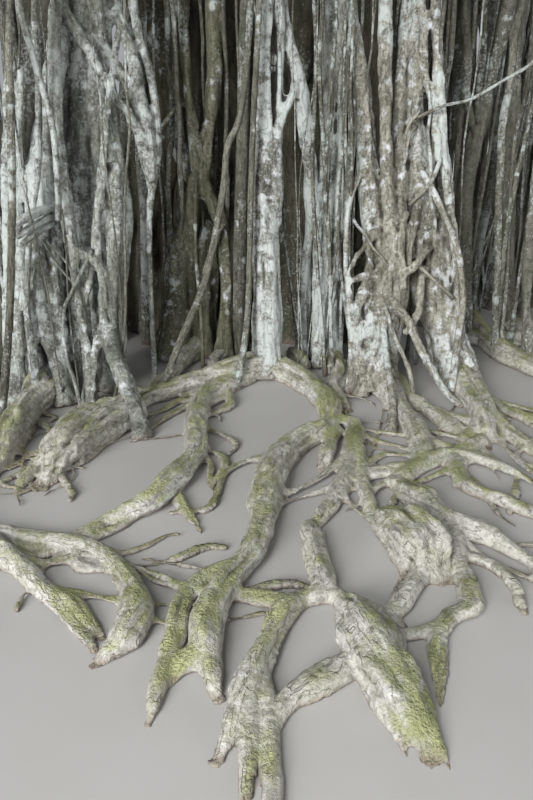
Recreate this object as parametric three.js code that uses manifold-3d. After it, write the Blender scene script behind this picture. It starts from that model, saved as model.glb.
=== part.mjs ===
// A banyan tree: a fluted trunk ringed by rope-like pillar roots, a skirt of surface roots
// that lie on level ground, spreading boughs and a broad dome of leaf masses.
// Millimetres, +Z up. The origin is at ground level in the middle of the trunk's flat cut,
// and -Y is the side that the tree is mostly seen from.
import * as THREE from "three";
import { mergeVertices } from "three/addons/utils/BufferGeometryUtils.js";
import Module from "manifold-3d";

// Driving sizes
const forkHeight = 4450; // middle of the trunk's head, where the boughs part
const crownRadius = 6350; // distance of the outer leaf masses' middles from the axis
const crownHeight = 7000; // height of the outer leaf masses' middles
const upperRadius = 3300; // the same two for the upper ring of leaf masses
const upperHeight = 9500;
const topHeight = 11500; // height of the top leaf mass's middle
const lowMassSize = [3250, 3250, 2300]; // half sizes of the leaf masses
const upperMassSize = [2800, 2800, 2100];
const topMassSize = [2800, 2800, 1900];
const heartShare = 0.73; // size of a mass's dense heart, as a share of the mass
const twigFrom = 0.45; // where its twigs start and end, the same way
const twigTo = 0.76;
const massMargin = 0.05; // room left between neighbouring masses, the same way
const leafLength = 950; // each modelled spray stands for many
const leafThick = 0.022; // half thickness at the ridge, as a share of the length
const leafBend = 0.1; // how far the tips bend down, the same way
const twigThick = 50; // radius of a twig at its root
const joint = 0.45; // clearance where one limb meets another
const sliver = 0.05; // edges shorter than this are closed up after cutting
const leafSliver = 2; // the same among fused leaves

const twigTurn = 0.5698403; // share of a whole turn from one twig to the next
const twigRise = 0.7548777; // step in height from one twig to the next
const droop = new THREE.Vector3(0, 0, -0.25);
// rim of a spray, forwards and sideways as shares of its length, from its right round to its left
const fanRim = [[0.3, -0.2], [0.72, -0.6], [0.52, -0.1], [1, 0], [0.52, 0.12], [0.7, 0.62], [0.26, 0.2]];
const fanRidge = [0.34, 0];
const triangle = [[-0.87, 0.5], [0, -1], [0.87, 0.5]]; // corners of a twig's section

const wasm = await Module();
wasm.setup();

// Small helpers

// A repeatable source of numbers between 0 and 1
function seeded(seed) {
  let state = (seed * 2654435761) >>> 0;
  return () => {
    state = (Math.imul(state, 1664525) + 1013904223) >>> 0;
    return state / 4294967296;
  };
}

// A value read off a short list, spread evenly over 0 to 1, with straight runs between
function along(list, t) {
  const at = Math.min(Math.max(t, 0), 1) * (list.length - 1);
  const low = Math.min(Math.floor(at), list.length - 2);
  return list[low] + (list[low + 1] - list[low]) * (at - low);
}

function smoothCurve(route) {
  return new THREE.CatmullRomCurve3(route.map((place) => new THREE.Vector3(...place)), false, "centripetal");
}

function compass(degrees) {
  const angle = THREE.MathUtils.degToRad(degrees);
  return new THREE.Vector2(Math.cos(angle), Math.sin(angle));
}

function toSolid(geometry) {
  geometry.deleteAttribute("normal");
  geometry.deleteAttribute("uv");
  const merged = mergeVertices(geometry, 1e-3);
  return new wasm.Manifold(
    new wasm.Mesh({
      numProp: 3,
      vertProperties: new Float32Array(merged.attributes.position.array),
      triVerts: new Uint32Array(merged.index.array),
    }),
  );
}

function toGeometry(solid) {
  const { vertProperties, triVerts } = solid.getMesh();
  const geometry = new THREE.BufferGeometry();
  geometry.setAttribute("position", new THREE.BufferAttribute(vertProperties, 3));
  geometry.setIndex(new THREE.BufferAttribute(triVerts, 1));
  geometry.computeVertexNormals();
  return geometry;
}

// Limbs

// A round bar is laid along a smooth curve through the route's points. Its rings stand square
// to the curve, they swell by the bulge where one is given, and nothing dips under the ground.
// A grown limb is wider and longer by the joint's clearance, to cut its neighbours with.
function limb({ route, thick, sides = 5, steps, bulge, lying = false }, grow = 0) {
  const curve = smoothCurve(route);
  const count = steps ?? route.length - 1;
  const bar = new THREE.CylinderGeometry(1, 1, 1, sides, count);
  const frames = ringFrames(curve, count, lying);
  const place = bar.attributes.position;
  const at = new THREE.Vector3();
  for (let i = 0; i < place.count; i++) {
    const t = 0.5 - place.getY(i);
    const ring = Math.round(t * count);
    const { tangent, side, rise } = frames[ring];
    const across = place.getX(i);
    const over = place.getZ(i);
    const angle = Math.atan2(over, across);
    const radius = along(thick, t) * (bulge ? bulge(angle, t) : 1) + grow;
    at.copy(curve.getPoint(t));
    at.addScaledVector(side, across * radius).addScaledVector(rise, over * radius);
    if (ring === 0) at.addScaledVector(tangent, -grow);
    if (ring === count) at.addScaledVector(tangent, grow);
    place.setXYZ(i, at.x, at.y, Math.max(at.z, -grow));
  }
  const solid = toSolid(bar);
  return solid.volume() < 0 ? toSolid(turned(bar)) : solid;
}

// Directions of each ring: along the curve, sideways and the third one square to both. On a
// standing limb they are carried from ring to ring without twist, on a lying one side is level.
function ringFrames(curve, count, lying) {
  const frames = [];
  let side = new THREE.Vector3(1, 0, 0);
  for (let ring = 0; ring <= count; ring++) {
    const tangent = curve.getTangent(ring / count);
    if (lying) side = new THREE.Vector3().crossVectors(tangent, new THREE.Vector3(0, 0, 1));
    side = side.clone().addScaledVector(tangent, -side.dot(tangent)).normalize();
    const rise = new THREE.Vector3().crossVectors(side, tangent);
    frames.push({ tangent, side, rise });
  }
  return frames;
}

// The same surface with its faces turned round
function turned(geometry) {
  const index = geometry.index.array;
  for (let i = 0; i < index.length; i += 3) [index[i + 1], index[i + 2]] = [index[i + 2], index[i + 1]];
  return geometry;
}

// A root that lies on the ground: its width tapers along the route, and its crest stands as
// high as crest times its half width
function groundRoot({ route, wide, sides = 5, crest = 0.5, steps }) {
  const points = route.map(([x, y], i) => {
    const half = along(wide, i / (route.length - 1));
    return [x, y, half * crest];
  });
  return { route: points, thick: wide, sides, lying: true, steps };
}

// The tree is put together in order: each new piece is trimmed back from those before it
const tree = new THREE.Group();
tree.name = "banyan tree";
const built = [];

function largest(solid) {
  const parts = solid.decompose();
  return parts.reduce((best, part) => (part.volume() > best.volume() ? part : best), parts[0]);
}

function boxesMeet(a, b) {
  return [0, 1, 2].every((k) => a.min[k] <= b.max[k] && b.min[k] <= a.max[k]);
}

// Adds a node made of fused limbs
function addLimbs(name, limbs, material) {
  const solid = wasm.Manifold.union(limbs.map((one) => limb(one)));
  const grown = wasm.Manifold.union(limbs.map((one) => limb(one, joint)));
  addSolid(name, solid, grown, material);
}

function addSolid(name, solid, grown, material) {
  let trimmed = solid;
  for (const other of built) {
    if (boxesMeet(trimmed.boundingBox(), other.boundingBox())) trimmed = trimmed.subtract(other);
  }
  trimmed = largest(largest(trimmed).simplify(sliver));
  built.push(grown);
  const mesh = new THREE.Mesh(toGeometry(trimmed), material);
  mesh.name = name;
  tree.add(mesh);
}

// Materials, one colour for each kind of surface

const bark = new THREE.MeshStandardMaterial({ color: 0x8f8878, roughness: 0.95, metalness: 0 });
const mossyBark = new THREE.MeshStandardMaterial({ color: 0x87875f, roughness: 1, metalness: 0 });
const foliage = new THREE.MeshStandardMaterial({ color: 0x3f6a2c, roughness: 0.6, metalness: 0 });

// A pillar is a strand from its foot to its head, with flutes where thinner roots have fused

function pillar({ foot, head, thick, seed, sides = 8, flutes = 3 }) {
  const random = seeded(seed);
  const bow = [(random() - 0.5) * 320, (random() - 0.5) * 320];
  const phase = random() * 6;
  const point = (t) => {
    const lean = t * t * (3 - 2 * t);
    const sway = Math.sin(Math.PI * t);
    const at = [0, 1].map((k) => foot[k] + (head[k] - foot[k]) * lean + bow[k] * sway);
    return [...at, head[2] * t];
  };
  return {
    route: [0, 0.13, 0.35, 0.6, 0.82, 1].map(point),
    thick: [thick * 1.7, thick * 1.2, thick * 1.05, thick * 0.95, thick * 0.95, thick * 1.05],
    sides,
    bulge: (angle, t) => 1 + 0.16 * Math.cos(flutes * angle + phase + 2.5 * t),
  };
}

// Trunk: a fluted core with the roots and stems that have fused to its face

const forkDirections = [236, 273, 309, 347, 27, 78, 130, 182]; // compass of each low bough, +X first

const core = {
  route: [[0, 60, 0], [0, 60, 500], [10, 70, 1300], [0, 60, 2300], [0, 30, 3300], [0, 0, 4150],
    [0, 0, 4800]],
  thick: [960, 800, 710, 690, 780, 840, 480],
  sides: 13,
  bulge: (angle, t) => 1 + 0.13 * Math.cos(5 * angle + 1.2 + 2 * t) + 0.06 * Math.cos(9 * angle - 3 * t),
};

const innerRoots = [
  {
    route: [[-600, -900, 0], [-580, -850, 340], [-570, -800, 780], [-480, -780, 1250]],
    thick: [250, 200, 150, 80],
  },
  {
    route: [[-480, -780, 1050], [-550, -790, 1700], [-580, -780, 2380], [-560, -650, 3500]],
    thick: [50, 36, 34, 60],
  },
  {
    route: [[-470, -780, 1050], [-390, -790, 1760], [-330, -780, 2380], [-260, -650, 3500]],
    thick: [50, 38, 38, 60],
  },
  {
    route: [[-370, -1190, 0], [-290, -1000, 310], [-210, -800, 800], [-160, -600, 1500]],
    thick: [110, 95, 85, 60],
  },
];

// Stems that have fused to the trunk's sides and fill the space behind the pillars in front
const fusedStems = [
  { foot: [760, -640], head: [620, -560, 4100], thick: 170, seed: 13, sides: 6 },
  { foot: [1080, -160], head: [700, -150, 4150], thick: 190, seed: 15, sides: 6 },
  { foot: [-1040, -420], head: [-640, -420, 4100], thick: 185, seed: 17, sides: 6 },
  { foot: [-900, 480], head: [-620, 330, 4100], thick: 190, seed: 19, sides: 6 },
  { foot: [560, 820], head: [400, 600, 4100], thick: 180, seed: 21, sides: 6 },
];

addLimbs("trunk", [core, ...innerRoots, ...fusedStems.map(pillar)], bark);

// Boughs: each is one tapering limb from its stub, or from the trunk's head, to its leaf mass

const lowBoughs = forkDirections.map((degrees, i) => {
  const jitter = seeded(20 + i);
  return {
    way: compass(degrees),
    tipWay: compass(degrees + 6 * (jitter() - 0.5)),
    reach: crownRadius * (0.97 + 0.1 * jitter()),
    height: crownHeight + 500 * (jitter() - 0.5),
    start: forkHeight - 650 + (i % 2) * 420,
  };
});

function lowBoughLimb({ way, tipWay, reach, height, start }) {
  const point = (dir, distance, z) => [dir.x * distance, dir.y * distance, z];
  return {
    route: [
      point(way, 480, start - 330),
      point(way, 1250, start + 330),
      point(way, 2300, start + 950),
      point(tipWay, reach * 0.55, forkHeight + 1150),
      point(tipWay, reach * 0.77, height - 950),
    ],
    thick: [330, 300, 245, 190, 130],
    sides: 6,
  };
}

const highBoughs = [12, 84, 156, 228, 300].map((degrees, i) => {
  const jitter = seeded(60 + i);
  return {
    way: compass(degrees + 10 * (jitter() - 0.5)),
    reach: upperRadius * (0.97 + 0.08 * jitter()),
    height: upperHeight + 500 * (jitter() - 0.5),
  };
});

function highBoughLimb({ way, reach, height }) {
  const point = (distance, z) => [way.x * distance, way.y * distance, z];
  return {
    route: [
      point(330, forkHeight - 150),
      point(620, forkHeight + 1150),
      point(reach * 0.48, forkHeight + 2550),
      point(reach * 0.72, height - 1250),
    ],
    thick: [210, 180, 150, 110],
    sides: 6,
    steps: 4,
  };
}

const leaderLimb = {
  route: [[0, 0, 4500], [40, 60, 6500], [-60, 20, 8600], [0, 0, topHeight - 1350]],
  thick: [150, 140, 120, 95],
  sides: 6,
};

const lowBoughNames = [
  "bough_front_left", "bough_front", "bough_front_right", "bough_right",
  "bough_back_right", "bough_back", "bough_back_left", "bough_left",
];
const boughTips = [];
function addBough(name, shape) {
  addLimbs(name, [shape], bark);
  boughTips.push(new THREE.Vector3(...shape.route.at(-1)));
}
lowBoughs.forEach((bough, i) => addBough(lowBoughNames[i], lowBoughLimb(bough)));
highBoughs.forEach((bough, i) => addBough(`upper_bough_${i + 1}`, highBoughLimb(bough)));
addBough("leader", leaderLimb);

// Pillar roots that stand in front of the trunk

const leftTrunk = [
  {
    route: [[-1280, -1900, 0], [-1210, -1800, 560], [-1130, -1700, 1170], [-1080, -1600, 1690],
      [-1040, -1530, 2300], [-980, -1350, 3100], [-790, -1120, 3950]],
    thick: [250, 195, 175, 150, 120, 130, 150],
    sides: 8,
  },
  {
    route: [[-1430, -2060, 0], [-1380, -1950, 850], [-1330, -1900, 1310], [-1240, -1780, 1780],
      [-1100, -1500, 2700]],
    thick: [135, 98, 88, 60, 50],
  },
  {
    route: [[-1010, -1890, 0], [-1000, -1800, 560], [-955, -1700, 1050], [-980, -1600, 1600],
      [-1010, -1450, 2600]],
    thick: [130, 105, 105, 75, 60],
  },
  {
    route: [[-1090, -2190, 0], [-1100, -2090, 450], [-1160, -2000, 1150], [-1195, -1900, 1690],
      [-1170, -1780, 2230], [-1060, -1450, 3000]],
    thick: [40, 36, 40, 38, 34, 34],
  },
  {
    route: [[-950, -1850, 860], [-955, -2130, 450], [-850, -2340, 240], [-735, -2550, 90],
      [-680, -2700, 10]],
    thick: [50, 48, 45, 45, 36],
  },
  {
    route: [[-950, -1330, 2950], [-890, -1520, 2290], [-770, -1690, 1930], [-700, -1780, 1560],
      [-690, -1790, 1290]],
    thick: [36, 34, 34, 32, 24],
  },
  {
    route: [[-850, -1300, 3000], [-770, -1560, 2200], [-670, -1680, 1800], [-655, -1750, 1450],
      [-720, -1770, 1100], [-760, -1750, 0]],
    thick: [26, 24, 23, 24, 18, 15],
  },
];

const middleStem = [
  {
    route: [[0, -1680, 0], [0, -1600, 650], [-25, -1550, 1160], [-20, -1500, 1750], [-10, -1490, 2300],
      [20, -1330, 3200], [60, -1150, 4350]],
    thick: [125, 88, 78, 48, 44, 52, 65],
    sides: 8,
  },
  {
    route: [[50, -1570, 1000], [75, -1470, 1750], [65, -1450, 2300], [80, -1300, 3200],
      [110, -1130, 4300]],
    thick: [50, 35, 34, 40, 50],
  },
  {
    route: [[70, -1420, 2600], [130, -1400, 2090], [205, -1440, 1880], [250, -1430, 1600],
      [300, -1320, 1230], [290, -1230, 700], [270, -1260, 0]],
    thick: [40, 44, 44, 44, 42, 40, 48],
  },
  {
    route: [[200, -1440, 1890], [150, -1490, 1750], [80, -1520, 1600], [10, -1550, 1330]],
    thick: [32, 32, 30, 34],
  },
];

const middleBundle = [
  {
    route: [[430, -1470, 0], [415, -1400, 610], [430, -1350, 1140], [415, -1300, 1750],
      [410, -1280, 2320], [420, -1130, 3200], [520, -960, 4000]],
    thick: [105, 84, 76, 56, 52, 56, 65],
    sides: 8,
  },
  {
    route: [[470, -1470, 620], [485, -1440, 1150], [475, -1390, 1630], [462, -1340, 2090],
      [440, -1180, 3000]],
    thick: [34, 27, 25, 25, 28],
  },
  {
    route: [[350, -1330, 0], [352, -1300, 800], [365, -1280, 1500], [380, -1220, 2400]],
    thick: [34, 28, 28, 30],
  },
];

const rightTrunk = [
  {
    route: [[710, -1970, 0], [712, -1860, 310], [745, -1800, 630], [800, -1700, 1050]],
    thick: [160, 130, 138, 110],
    sides: 8,
  },
  {
    route: [[1290, -1870, 0], [1180, -1760, 330], [1095, -1700, 610], [1010, -1640, 1080]],
    thick: [140, 125, 135, 110],
    sides: 8,
  },
  {
    route: [[735, -1760, 780], [670, -1650, 1080], [625, -1550, 1460], [585, -1480, 1850],
      [500, -1400, 2300], [520, -1200, 3200], [560, -1030, 3900]],
    thick: [85, 76, 62, 46, 40, 46, 60],
    sides: 7,
  },
  {
    route: [[790, -1750, 900], [752, -1690, 1230], [730, -1600, 1630], [700, -1490, 2290],
      [690, -1300, 3200], [690, -1020, 3950]],
    thick: [62, 40, 37, 36, 42, 52],
  },
  {
    route: [[870, -1700, 880], [865, -1600, 1190], [835, -1500, 1500], [835, -1440, 1830],
      [870, -1340, 2320], [850, -1150, 3200], [790, -980, 3900]],
    thick: [70, 52, 44, 46, 46, 50, 60],
  },
  {
    route: [[990, -1740, 820], [970, -1650, 1200], [952, -1550, 1600], [950, -1440, 2100],
      [950, -1320, 2600], [890, -1050, 3900]],
    thick: [84, 70, 57, 46, 40, 56],
    sides: 7,
  },
  {
    route: [[950, -1200, 3200], [1000, -1470, 2290], [1050, -1590, 1750], [1105, -1700, 1290],
      [1190, -1800, 820], [1225, -1880, 450], [1215, -1980, 0]],
    thick: [30, 30, 28, 27, 26, 25, 30],
  },
  {
    route: [[725, -1870, 650], [705, -2150, 400], [695, -2420, 170], [688, -2670, 5]],
    thick: [28, 24, 22, 22],
  },
  {
    route: [[820, -1800, 600], [930, -2020, 400], [1030, -2110, 210], [1120, -2180, 70],
      [1200, -2235, 10]],
    thick: [36, 30, 28, 28, 24],
  },
];

const greyStem = [
  {
    route: [[1530, -900, 0], [1500, -850, 640], [1480, -800, 1150], [1525, -750, 1450],
      [1600, -660, 1850], [1700, -620, 2500], [1640, -600, 3300], [1500, -400, 4650]],
    thick: [84, 64, 60, 62, 50, 48, 50, 60],
    sides: 7,
  },
  {
    route: [[1260, -800, 3600], [1300, -880, 2500], [1385, -880, 1950], [1410, -840, 1750],
      [1520, -770, 1530]],
    thick: [34, 30, 30, 30, 34],
  },
];

const greenStem = [
  {
    route: [[1990, -620, 0], [1950, -580, 300], [1900, -500, 1050], [1850, -400, 2050],
      [1860, -320, 3000], [1770, -400, 4800]],
    thick: [95, 64, 60, 57, 58, 66],
    sides: 8,
  },
];

const rightEdgeStem = [
  {
    route: [[1890, -1510, 0], [1815, -1450, 330], [1790, -1400, 810], [1795, -1300, 1750],
      [1700, -1250, 2900], [1230, -1440, 4450]],
    thick: [52, 37, 33, 32, 34, 46],
  },
  {
    route: [[1700, -1270, 0], [1665, -1250, 780], [1700, -1260, 1400], [1760, -1280, 2100]],
    thick: [20, 17, 17, 18],
  },
];

addLimbs("left_trunk", leftTrunk, bark);
addLimbs("right_trunk", rightTrunk, bark);
addLimbs("middle_stem", middleStem, bark);
addLimbs("middle_bundle", middleBundle, bark);
addLimbs("grey_stem", greyStem, bark);
addLimbs("green_stem", greenStem, bark);
addLimbs("right_edge_stem", rightEdgeStem, bark);

// Pillar roots at the sides and back

const sidePillars = {
  left_edge_stem: { foot: [-1800, -1560], head: [-930, -1190, 4200], thick: 120, seed: 3 },
  left_side_stem: { foot: [-1950, -350], head: [-1450, -60, 4600], thick: 170, seed: 5 },
  back_left_stem: { foot: [-1350, 1150], head: [-900, 1060, 4150], thick: 190, seed: 7 },
  back_stem: { foot: [150, 1650], head: [270, 1260, 4450], thick: 170, seed: 9 },
  back_right_stem: { foot: [1450, 950], head: [1190, 620, 4100], thick: 180, seed: 11 },
};
for (const [name, sizes] of Object.entries(sidePillars)) addLimbs(name, [pillar(sizes)], bark);

// Prop roots that stand alone under the boughs

function propRoot({ bough, share, thick, seed }) {
  const random = seeded(seed);
  const head = smoothCurve(lowBoughLimb(lowBoughs[bough]).route).getPoint(share);
  const foot = [head.x + (random() - 0.5) * 500, head.y + (random() - 0.5) * 500];
  return pillar({ foot, head: head.toArray(), thick, seed: seed + 1 });
}

const propRoots = {
  prop_root_right: { bough: 3, share: 0.62, thick: 105, seed: 31 },
  prop_root_back_right: { bough: 4, share: 0.8, thick: 85, seed: 35 },
  prop_root_back: { bough: 5, share: 0.6, thick: 120, seed: 37 },
  prop_root_back_left: { bough: 6, share: 0.85, thick: 90, seed: 41 },
  prop_root_left: { bough: 7, share: 0.66, thick: 110, seed: 43 },
};
for (const [name, sizes] of Object.entries(propRoots)) addLimbs(name, [propRoot(sizes)], bark);

// Aerial roots: thin ones that hang from the fork to the ground

const crossingRoot = [
  {
    route: [[-30, -1230, 4350], [-60, -1530, 3000], [-90, -1600, 2280], [-135, -1600, 1800],
      [-180, -1600, 1600],
      [-235, -1610, 1500], [-270, -1650, 1230], [-390, -1800, 690], [-560, -1980, 300], [-680, -2060, 0]],
    thick: [22, 19, 18, 18, 18, 19, 20, 22, 24, 26],
  },
];

const greenAerialRoot = [
  {
    route: [[-60, -1030, 4250], [-110, -1180, 2900], [-140, -1200, 1990], [-165, -1200, 1400],
      [-190, -1260, 700], [-210, -1320, 0]],
    thick: [36, 36, 38, 42, 44, 52],
  },
];

const leftAerialRoot = [
  {
    route: [[-1000, -1500, 4300], [-1180, -1950, 3200], [-1290, -2200, 2190], [-1370, -2300, 1240],
      [-1470, -2350, 520], [-1570, -2400, 0]],
    thick: [24, 22, 20, 20, 21, 26],
  },
];

addLimbs("crossing_root", crossingRoot, bark);
addLimbs("green_aerial_root", greenAerialRoot, bark);
addLimbs("left_aerial_root", leftAerialRoot, bark);

// Surface roots in front: widths are half widths, from the pillar outwards

const frontRoots = [
  {
    route: [[20, -1640], [150, -1760], [290, -2000], [370, -2320], [330, -2620], [180, -2800],
      [70, -3030],
      [0, -3290], [-20, -3600], [-60, -3850], [-150, -4030], [-200, -4200], [-200, -4380], [-150, -4560]],
    wide: [105, 80, 62, 66, 62, 66, 72, 72, 62, 58, 55, 56, 50, 24],
    crest: 0.62,
  },
  { route: [[-80, -3900], [-240, -3990], [-310, -4130], [-315, -4350], [-335, -4530], [-345, -4660]],
    wide: [50, 40, 32, 30, 26, 12] },
  { route: [[380, -2450], [490, -2560], [455, -2850], [380, -3190], [290, -3430], [190, -3630]],
    wide: [40, 46, 44, 40, 38, 34] },
  { route: [[185, -3600], [200, -3870], [205, -4060], [120, -4110], [-30, -4110], [-150, -4060]],
    wide: [36, 50, 46, 36, 30, 24] },
  { route: [[200, -4050], [300, -4120], [390, -4190], [470, -4240]], wide: [34, 34, 36, 30] },
  {
    route: [[300, -4120], [350, -4330], [385, -4500], [425, -4650], [455, -4780]],
    wide: [50, 100, 88, 60, 30],
    crest: 0.3,
    sides: 8,
  },
  { route: [[110, -4120], [60, -4190], [0, -4340], [-50, -4490], [-90, -4650], [-140, -4780]],
    wide: [40, 52, 50, 48, 40, 22] },
  {
    route: [[290, -4420], [150, -4520], [60, -4590], [5, -4700], [-10, -4850]],
    wide: [46, 34, 28, 22, 8],
  },
  {
    route: [[490, -3560], [570, -3700], [630, -3860], [660, -3940]],
    wide: [66, 108, 112, 60],
    crest: 0.42,
    sides: 8,
  },
  { route: [[630, -3900], [530, -4060], [440, -4180], [360, -4240]], wide: [44, 32, 30, 34] },
];

const frontLeftRoots = [
  { route: [[20, -1640], [-90, -1700], [-260, -1850], [-480, -1960], [-700, -2160], [-830, -2330]],
    wide: [80, 96, 88, 66, 52, 46], crest: 0.8 },
  {
    route: [[-780, -2290], [-930, -2560], [-1050, -2950], [-1090, -3230]],
    wide: [70, 118, 110, 50],
    crest: 0.45,
  },
  {
    route: [[-140, -1760], [-260, -1960], [-390, -2180], [-400, -2560], [-370, -2900], [-440, -3220],
      [-560, -3470], [-720, -3580], [-860, -3690]],
    wide: [70, 72, 60, 58, 64, 66, 52, 34, 20],
    steps: 13,
  },
  { route: [[-700, -3560], [-770, -3780], [-730, -3900], [-600, -3920]], wide: [30, 26, 24, 20] },
];

const leftFrontRoots = [
  { route: [[-1400, -2080], [-1420, -2400], [-1400, -2750], [-1380, -3050], [-1420, -3350]],
    wide: [110, 80, 84, 64, 36], crest: 0.6 },
  { route: [[-1420, -3250], [-1260, -3640], [-1160, -3660], [-890, -3730], [-710, -3790], [-580, -3900],
      [-490, -4060], [-455, -4200], [-480, -4330], [-560, -4420]],
    wide: [44, 36, 34, 36, 38, 38, 44, 56, 52, 24] },
  { route: [[-1330, -3560], [-1120, -3760], [-1000, -3880], [-830, -4060], [-690, -4200], [-570, -4350]],
    wide: [40, 46, 42, 36, 30, 18] },
  { route: [[-860, -4030], [-700, -4120], [-560, -4290]], wide: [26, 24, 14] },
];

const frontRightRoots = [
  {
    route: [[1270, -1880], [1290, -2120], [1270, -2420], [1170, -2800]],
    wide: [120, 84, 74, 56],
    crest: 0.6,
  },
  { route: [[1290, -2000], [1420, -2290], [1600, -2520], [1800, -2650]], wide: [60, 44, 36, 18] },
  { route: [[1290, -2350], [1360, -2700], [1480, -2970], [1560, -3250]], wide: [60, 48, 40, 18] },
  {
    route: [[1180, -2760], [950, -2940], [780, -3060], [620, -3260]],
    wide: [50, 36, 32, 26],
  },
  {
    route: [[950, -2930], [960, -3260], [1080, -3390], [1230, -3560], [1330, -3760]],
    wide: [36, 34, 34, 30, 14],
  },
  {
    route: [[640, -3230], [700, -3440], [800, -3610], [940, -3720], [1100, -3990]],
    wide: [40, 66, 54, 42, 16],
  },
  {
    route: [[700, -3440], [770, -3650], [760, -3880], [750, -4080], [740, -4160], [650, -4210],
      [580, -4310], [550, -4450], [525, -4590]],
    wide: [50, 44, 36, 36, 36, 32, 34, 32, 12],
    steps: 13,
  },
  {
    route: [[760, -1930], [800, -2360], [830, -2650], [800, -2950], [720, -3130]],
    wide: [90, 64, 58, 44, 30],
    crest: 0.62,
  },
  { route: [[800, -1960], [890, -2150], [1000, -2420], [1080, -2700]], wide: [60, 44, 36, 30] },
];

// Surface roots elsewhere: from the foot of a pillar they run to a hub just outside it, part
// there, wind outwards by a seeded swing and fork

function windingRoots({ pillarFoot, hub, mains, link = [] }) {
  const roots = link.length ? [{ route: link, wide: [60, 60, 50], crest: 0.7 }] : [];
  for (const { heading, reach, wide, seed, forks = 1 } of mains) {
    const random = seeded(seed);
    const winding = (start, degrees, length, width, lead = []) => {
      const way = compass(degrees);
      const swing = (random() - 0.5) * 0.36 * length;
      const turn = random() * Math.PI;
      const route = [0, 0.25, 0.5, 0.75, 1].map((t) => {
        const aside = swing * Math.sin(turn + 4.2 * t) * t;
        return [start[0] + way.x * length * t - way.y * aside, start[1] + way.y * length * t + way.x * aside];
      });
      const taper = [1, 0.8, 0.66, 0.48, 0.16].map((part) => width * part);
      return { route: [...lead, ...route], wide: [...lead.map(() => width * 1.1), ...taper], crest: 0.6 };
    };
    const main = winding(hub, heading, reach, wide, [pillarFoot]);
    roots.push(main);
    for (let i = 0; i < forks; i++) {
      const side = i % 2 === 0 ? 1 : -1;
      const angle = heading + side * (24 + 16 * random());
      roots.push(winding(main.route[i + 2], angle, reach * (0.6 - 0.14 * i), wide * (0.62 - 0.1 * i)));
    }
  }
  return roots;
}

const otherRoots = {
  right_roots: {
    pillarFoot: [1990, -620],
    hub: [2110, -760],
    link: [[1530, -930], [1800, -960], [2110, -790]],
    mains: [
      { heading: -14, reach: 2200, wide: 90, seed: 51 },
      { heading: -56, reach: 1600, wide: 74, seed: 53 },
    ],
  },
  back_right_roots: {
    pillarFoot: [1450, 950],
    hub: [1720, 1180],
    mains: [
      { heading: 16, reach: 2300, wide: 125, seed: 57, forks: 2 },
      { heading: 62, reach: 2200, wide: 110, seed: 59 },
    ],
  },
  back_roots: {
    pillarFoot: [150, 1650],
    hub: [130, 1990],
    mains: [
      { heading: 68, reach: 2300, wide: 125, seed: 61 },
      { heading: 114, reach: 2300, wide: 105, seed: 67 },
    ],
  },
  back_left_roots: {
    pillarFoot: [-1350, 1150],
    hub: [-1600, 1420],
    mains: [
      { heading: 116, reach: 2300, wide: 130, seed: 71 },
      { heading: 160, reach: 2400, wide: 105, seed: 73 },
    ],
  },
  left_roots: {
    pillarFoot: [-1950, -350],
    hub: [-2290, -430],
    mains: [
      { heading: 172, reach: 2200, wide: 120, seed: 79, forks: 2 },
      { heading: 216, reach: 2100, wide: 90, seed: 83 },
    ],
  },
};

addLimbs("front_roots", frontRoots.map(groundRoot), mossyBark);
addLimbs("front_left_roots", frontLeftRoots.map(groundRoot), mossyBark);
addLimbs("left_front_roots", leftFrontRoots.map(groundRoot), mossyBark);
addLimbs("front_right_roots", frontRightRoots.map(groundRoot), mossyBark);
for (const [name, list] of Object.entries(otherRoots)) {
  addLimbs(name, windingRoots(list).map(groundRoot), mossyBark);
}

// Leaf masses: a lumpy heart, a stem from the bough's tip, and twigs that carry leaf sprays

// A spray is a three-sided twig that widens into a fan of three leaves: the fan's rim runs
// over the tips and the notches between them, with one ridge point above and one below
function leafSpray({ start, end, way, up, length }) {
  const across = new THREE.Vector3().crossVectors(up, way).normalize();
  const lift = new THREE.Vector3().crossVectors(way, across).normalize();
  const twigRing = (at, radius) => triangle.map(([aside, rise]) =>
    at.clone().addScaledVector(across, aside * radius).addScaledVector(lift, rise * radius));
  const point = ([forward, aside], rise = 0) => {
    const at = end.clone().addScaledVector(way, forward * length).addScaledVector(across, aside * length);
    return at.addScaledVector(lift, (rise - leafBend * forward * forward) * length);
  };
  const rim = fanRim.map((place) => point(place));
  const ridges = [point(fanRidge, leafThick), point(fanRidge, -leafThick)];
  const places = [...twigRing(start, twigThick), ...twigRing(end, twigThick * 0.8), ...rim, ...ridges];
  const [right, under, left] = [3, 4, 5]; // the twig's end ring
  const above = places.length - 2;
  const below = places.length - 1;
  const index = [0, 2, 1];
  for (const [a, b] of [[0, 1], [1, 2], [2, 0]]) index.push(a, b, a + 3, b, b + 3, a + 3);
  const edge = [right, ...rim.map((_, i) => 6 + i), left];
  for (let i = 0; i + 1 < edge.length; i++) {
    index.push(above, edge[i], edge[i + 1], below, edge[i + 1], edge[i]);
  }
  index.push(above, left, right, below, right, under, below, under, left);
  const blank = new THREE.BufferGeometry();
  blank.setAttribute("position", new THREE.Float32BufferAttribute(places.flatMap((at) => at.toArray()), 3));
  blank.setIndex(index);
  const solid = toSolid(blank);
  return solid.volume() < 0 ? toSolid(turned(blank)) : solid;
}

// Leaf masses keep to their own spaces: a point belongs to the nearest middle, measured in
// half sizes of each mass, and a margin is left between neighbours
function share(point, { middle, size }) {
  return new THREE.Vector3(...middle).sub(point).divide(new THREE.Vector3(...size)).length();
}

function ownSpace(point, mass) {
  const own = share(point, mass);
  return own < 1 && masses.every((other) => other === mass || own + massMargin < share(point, other));
}

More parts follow.
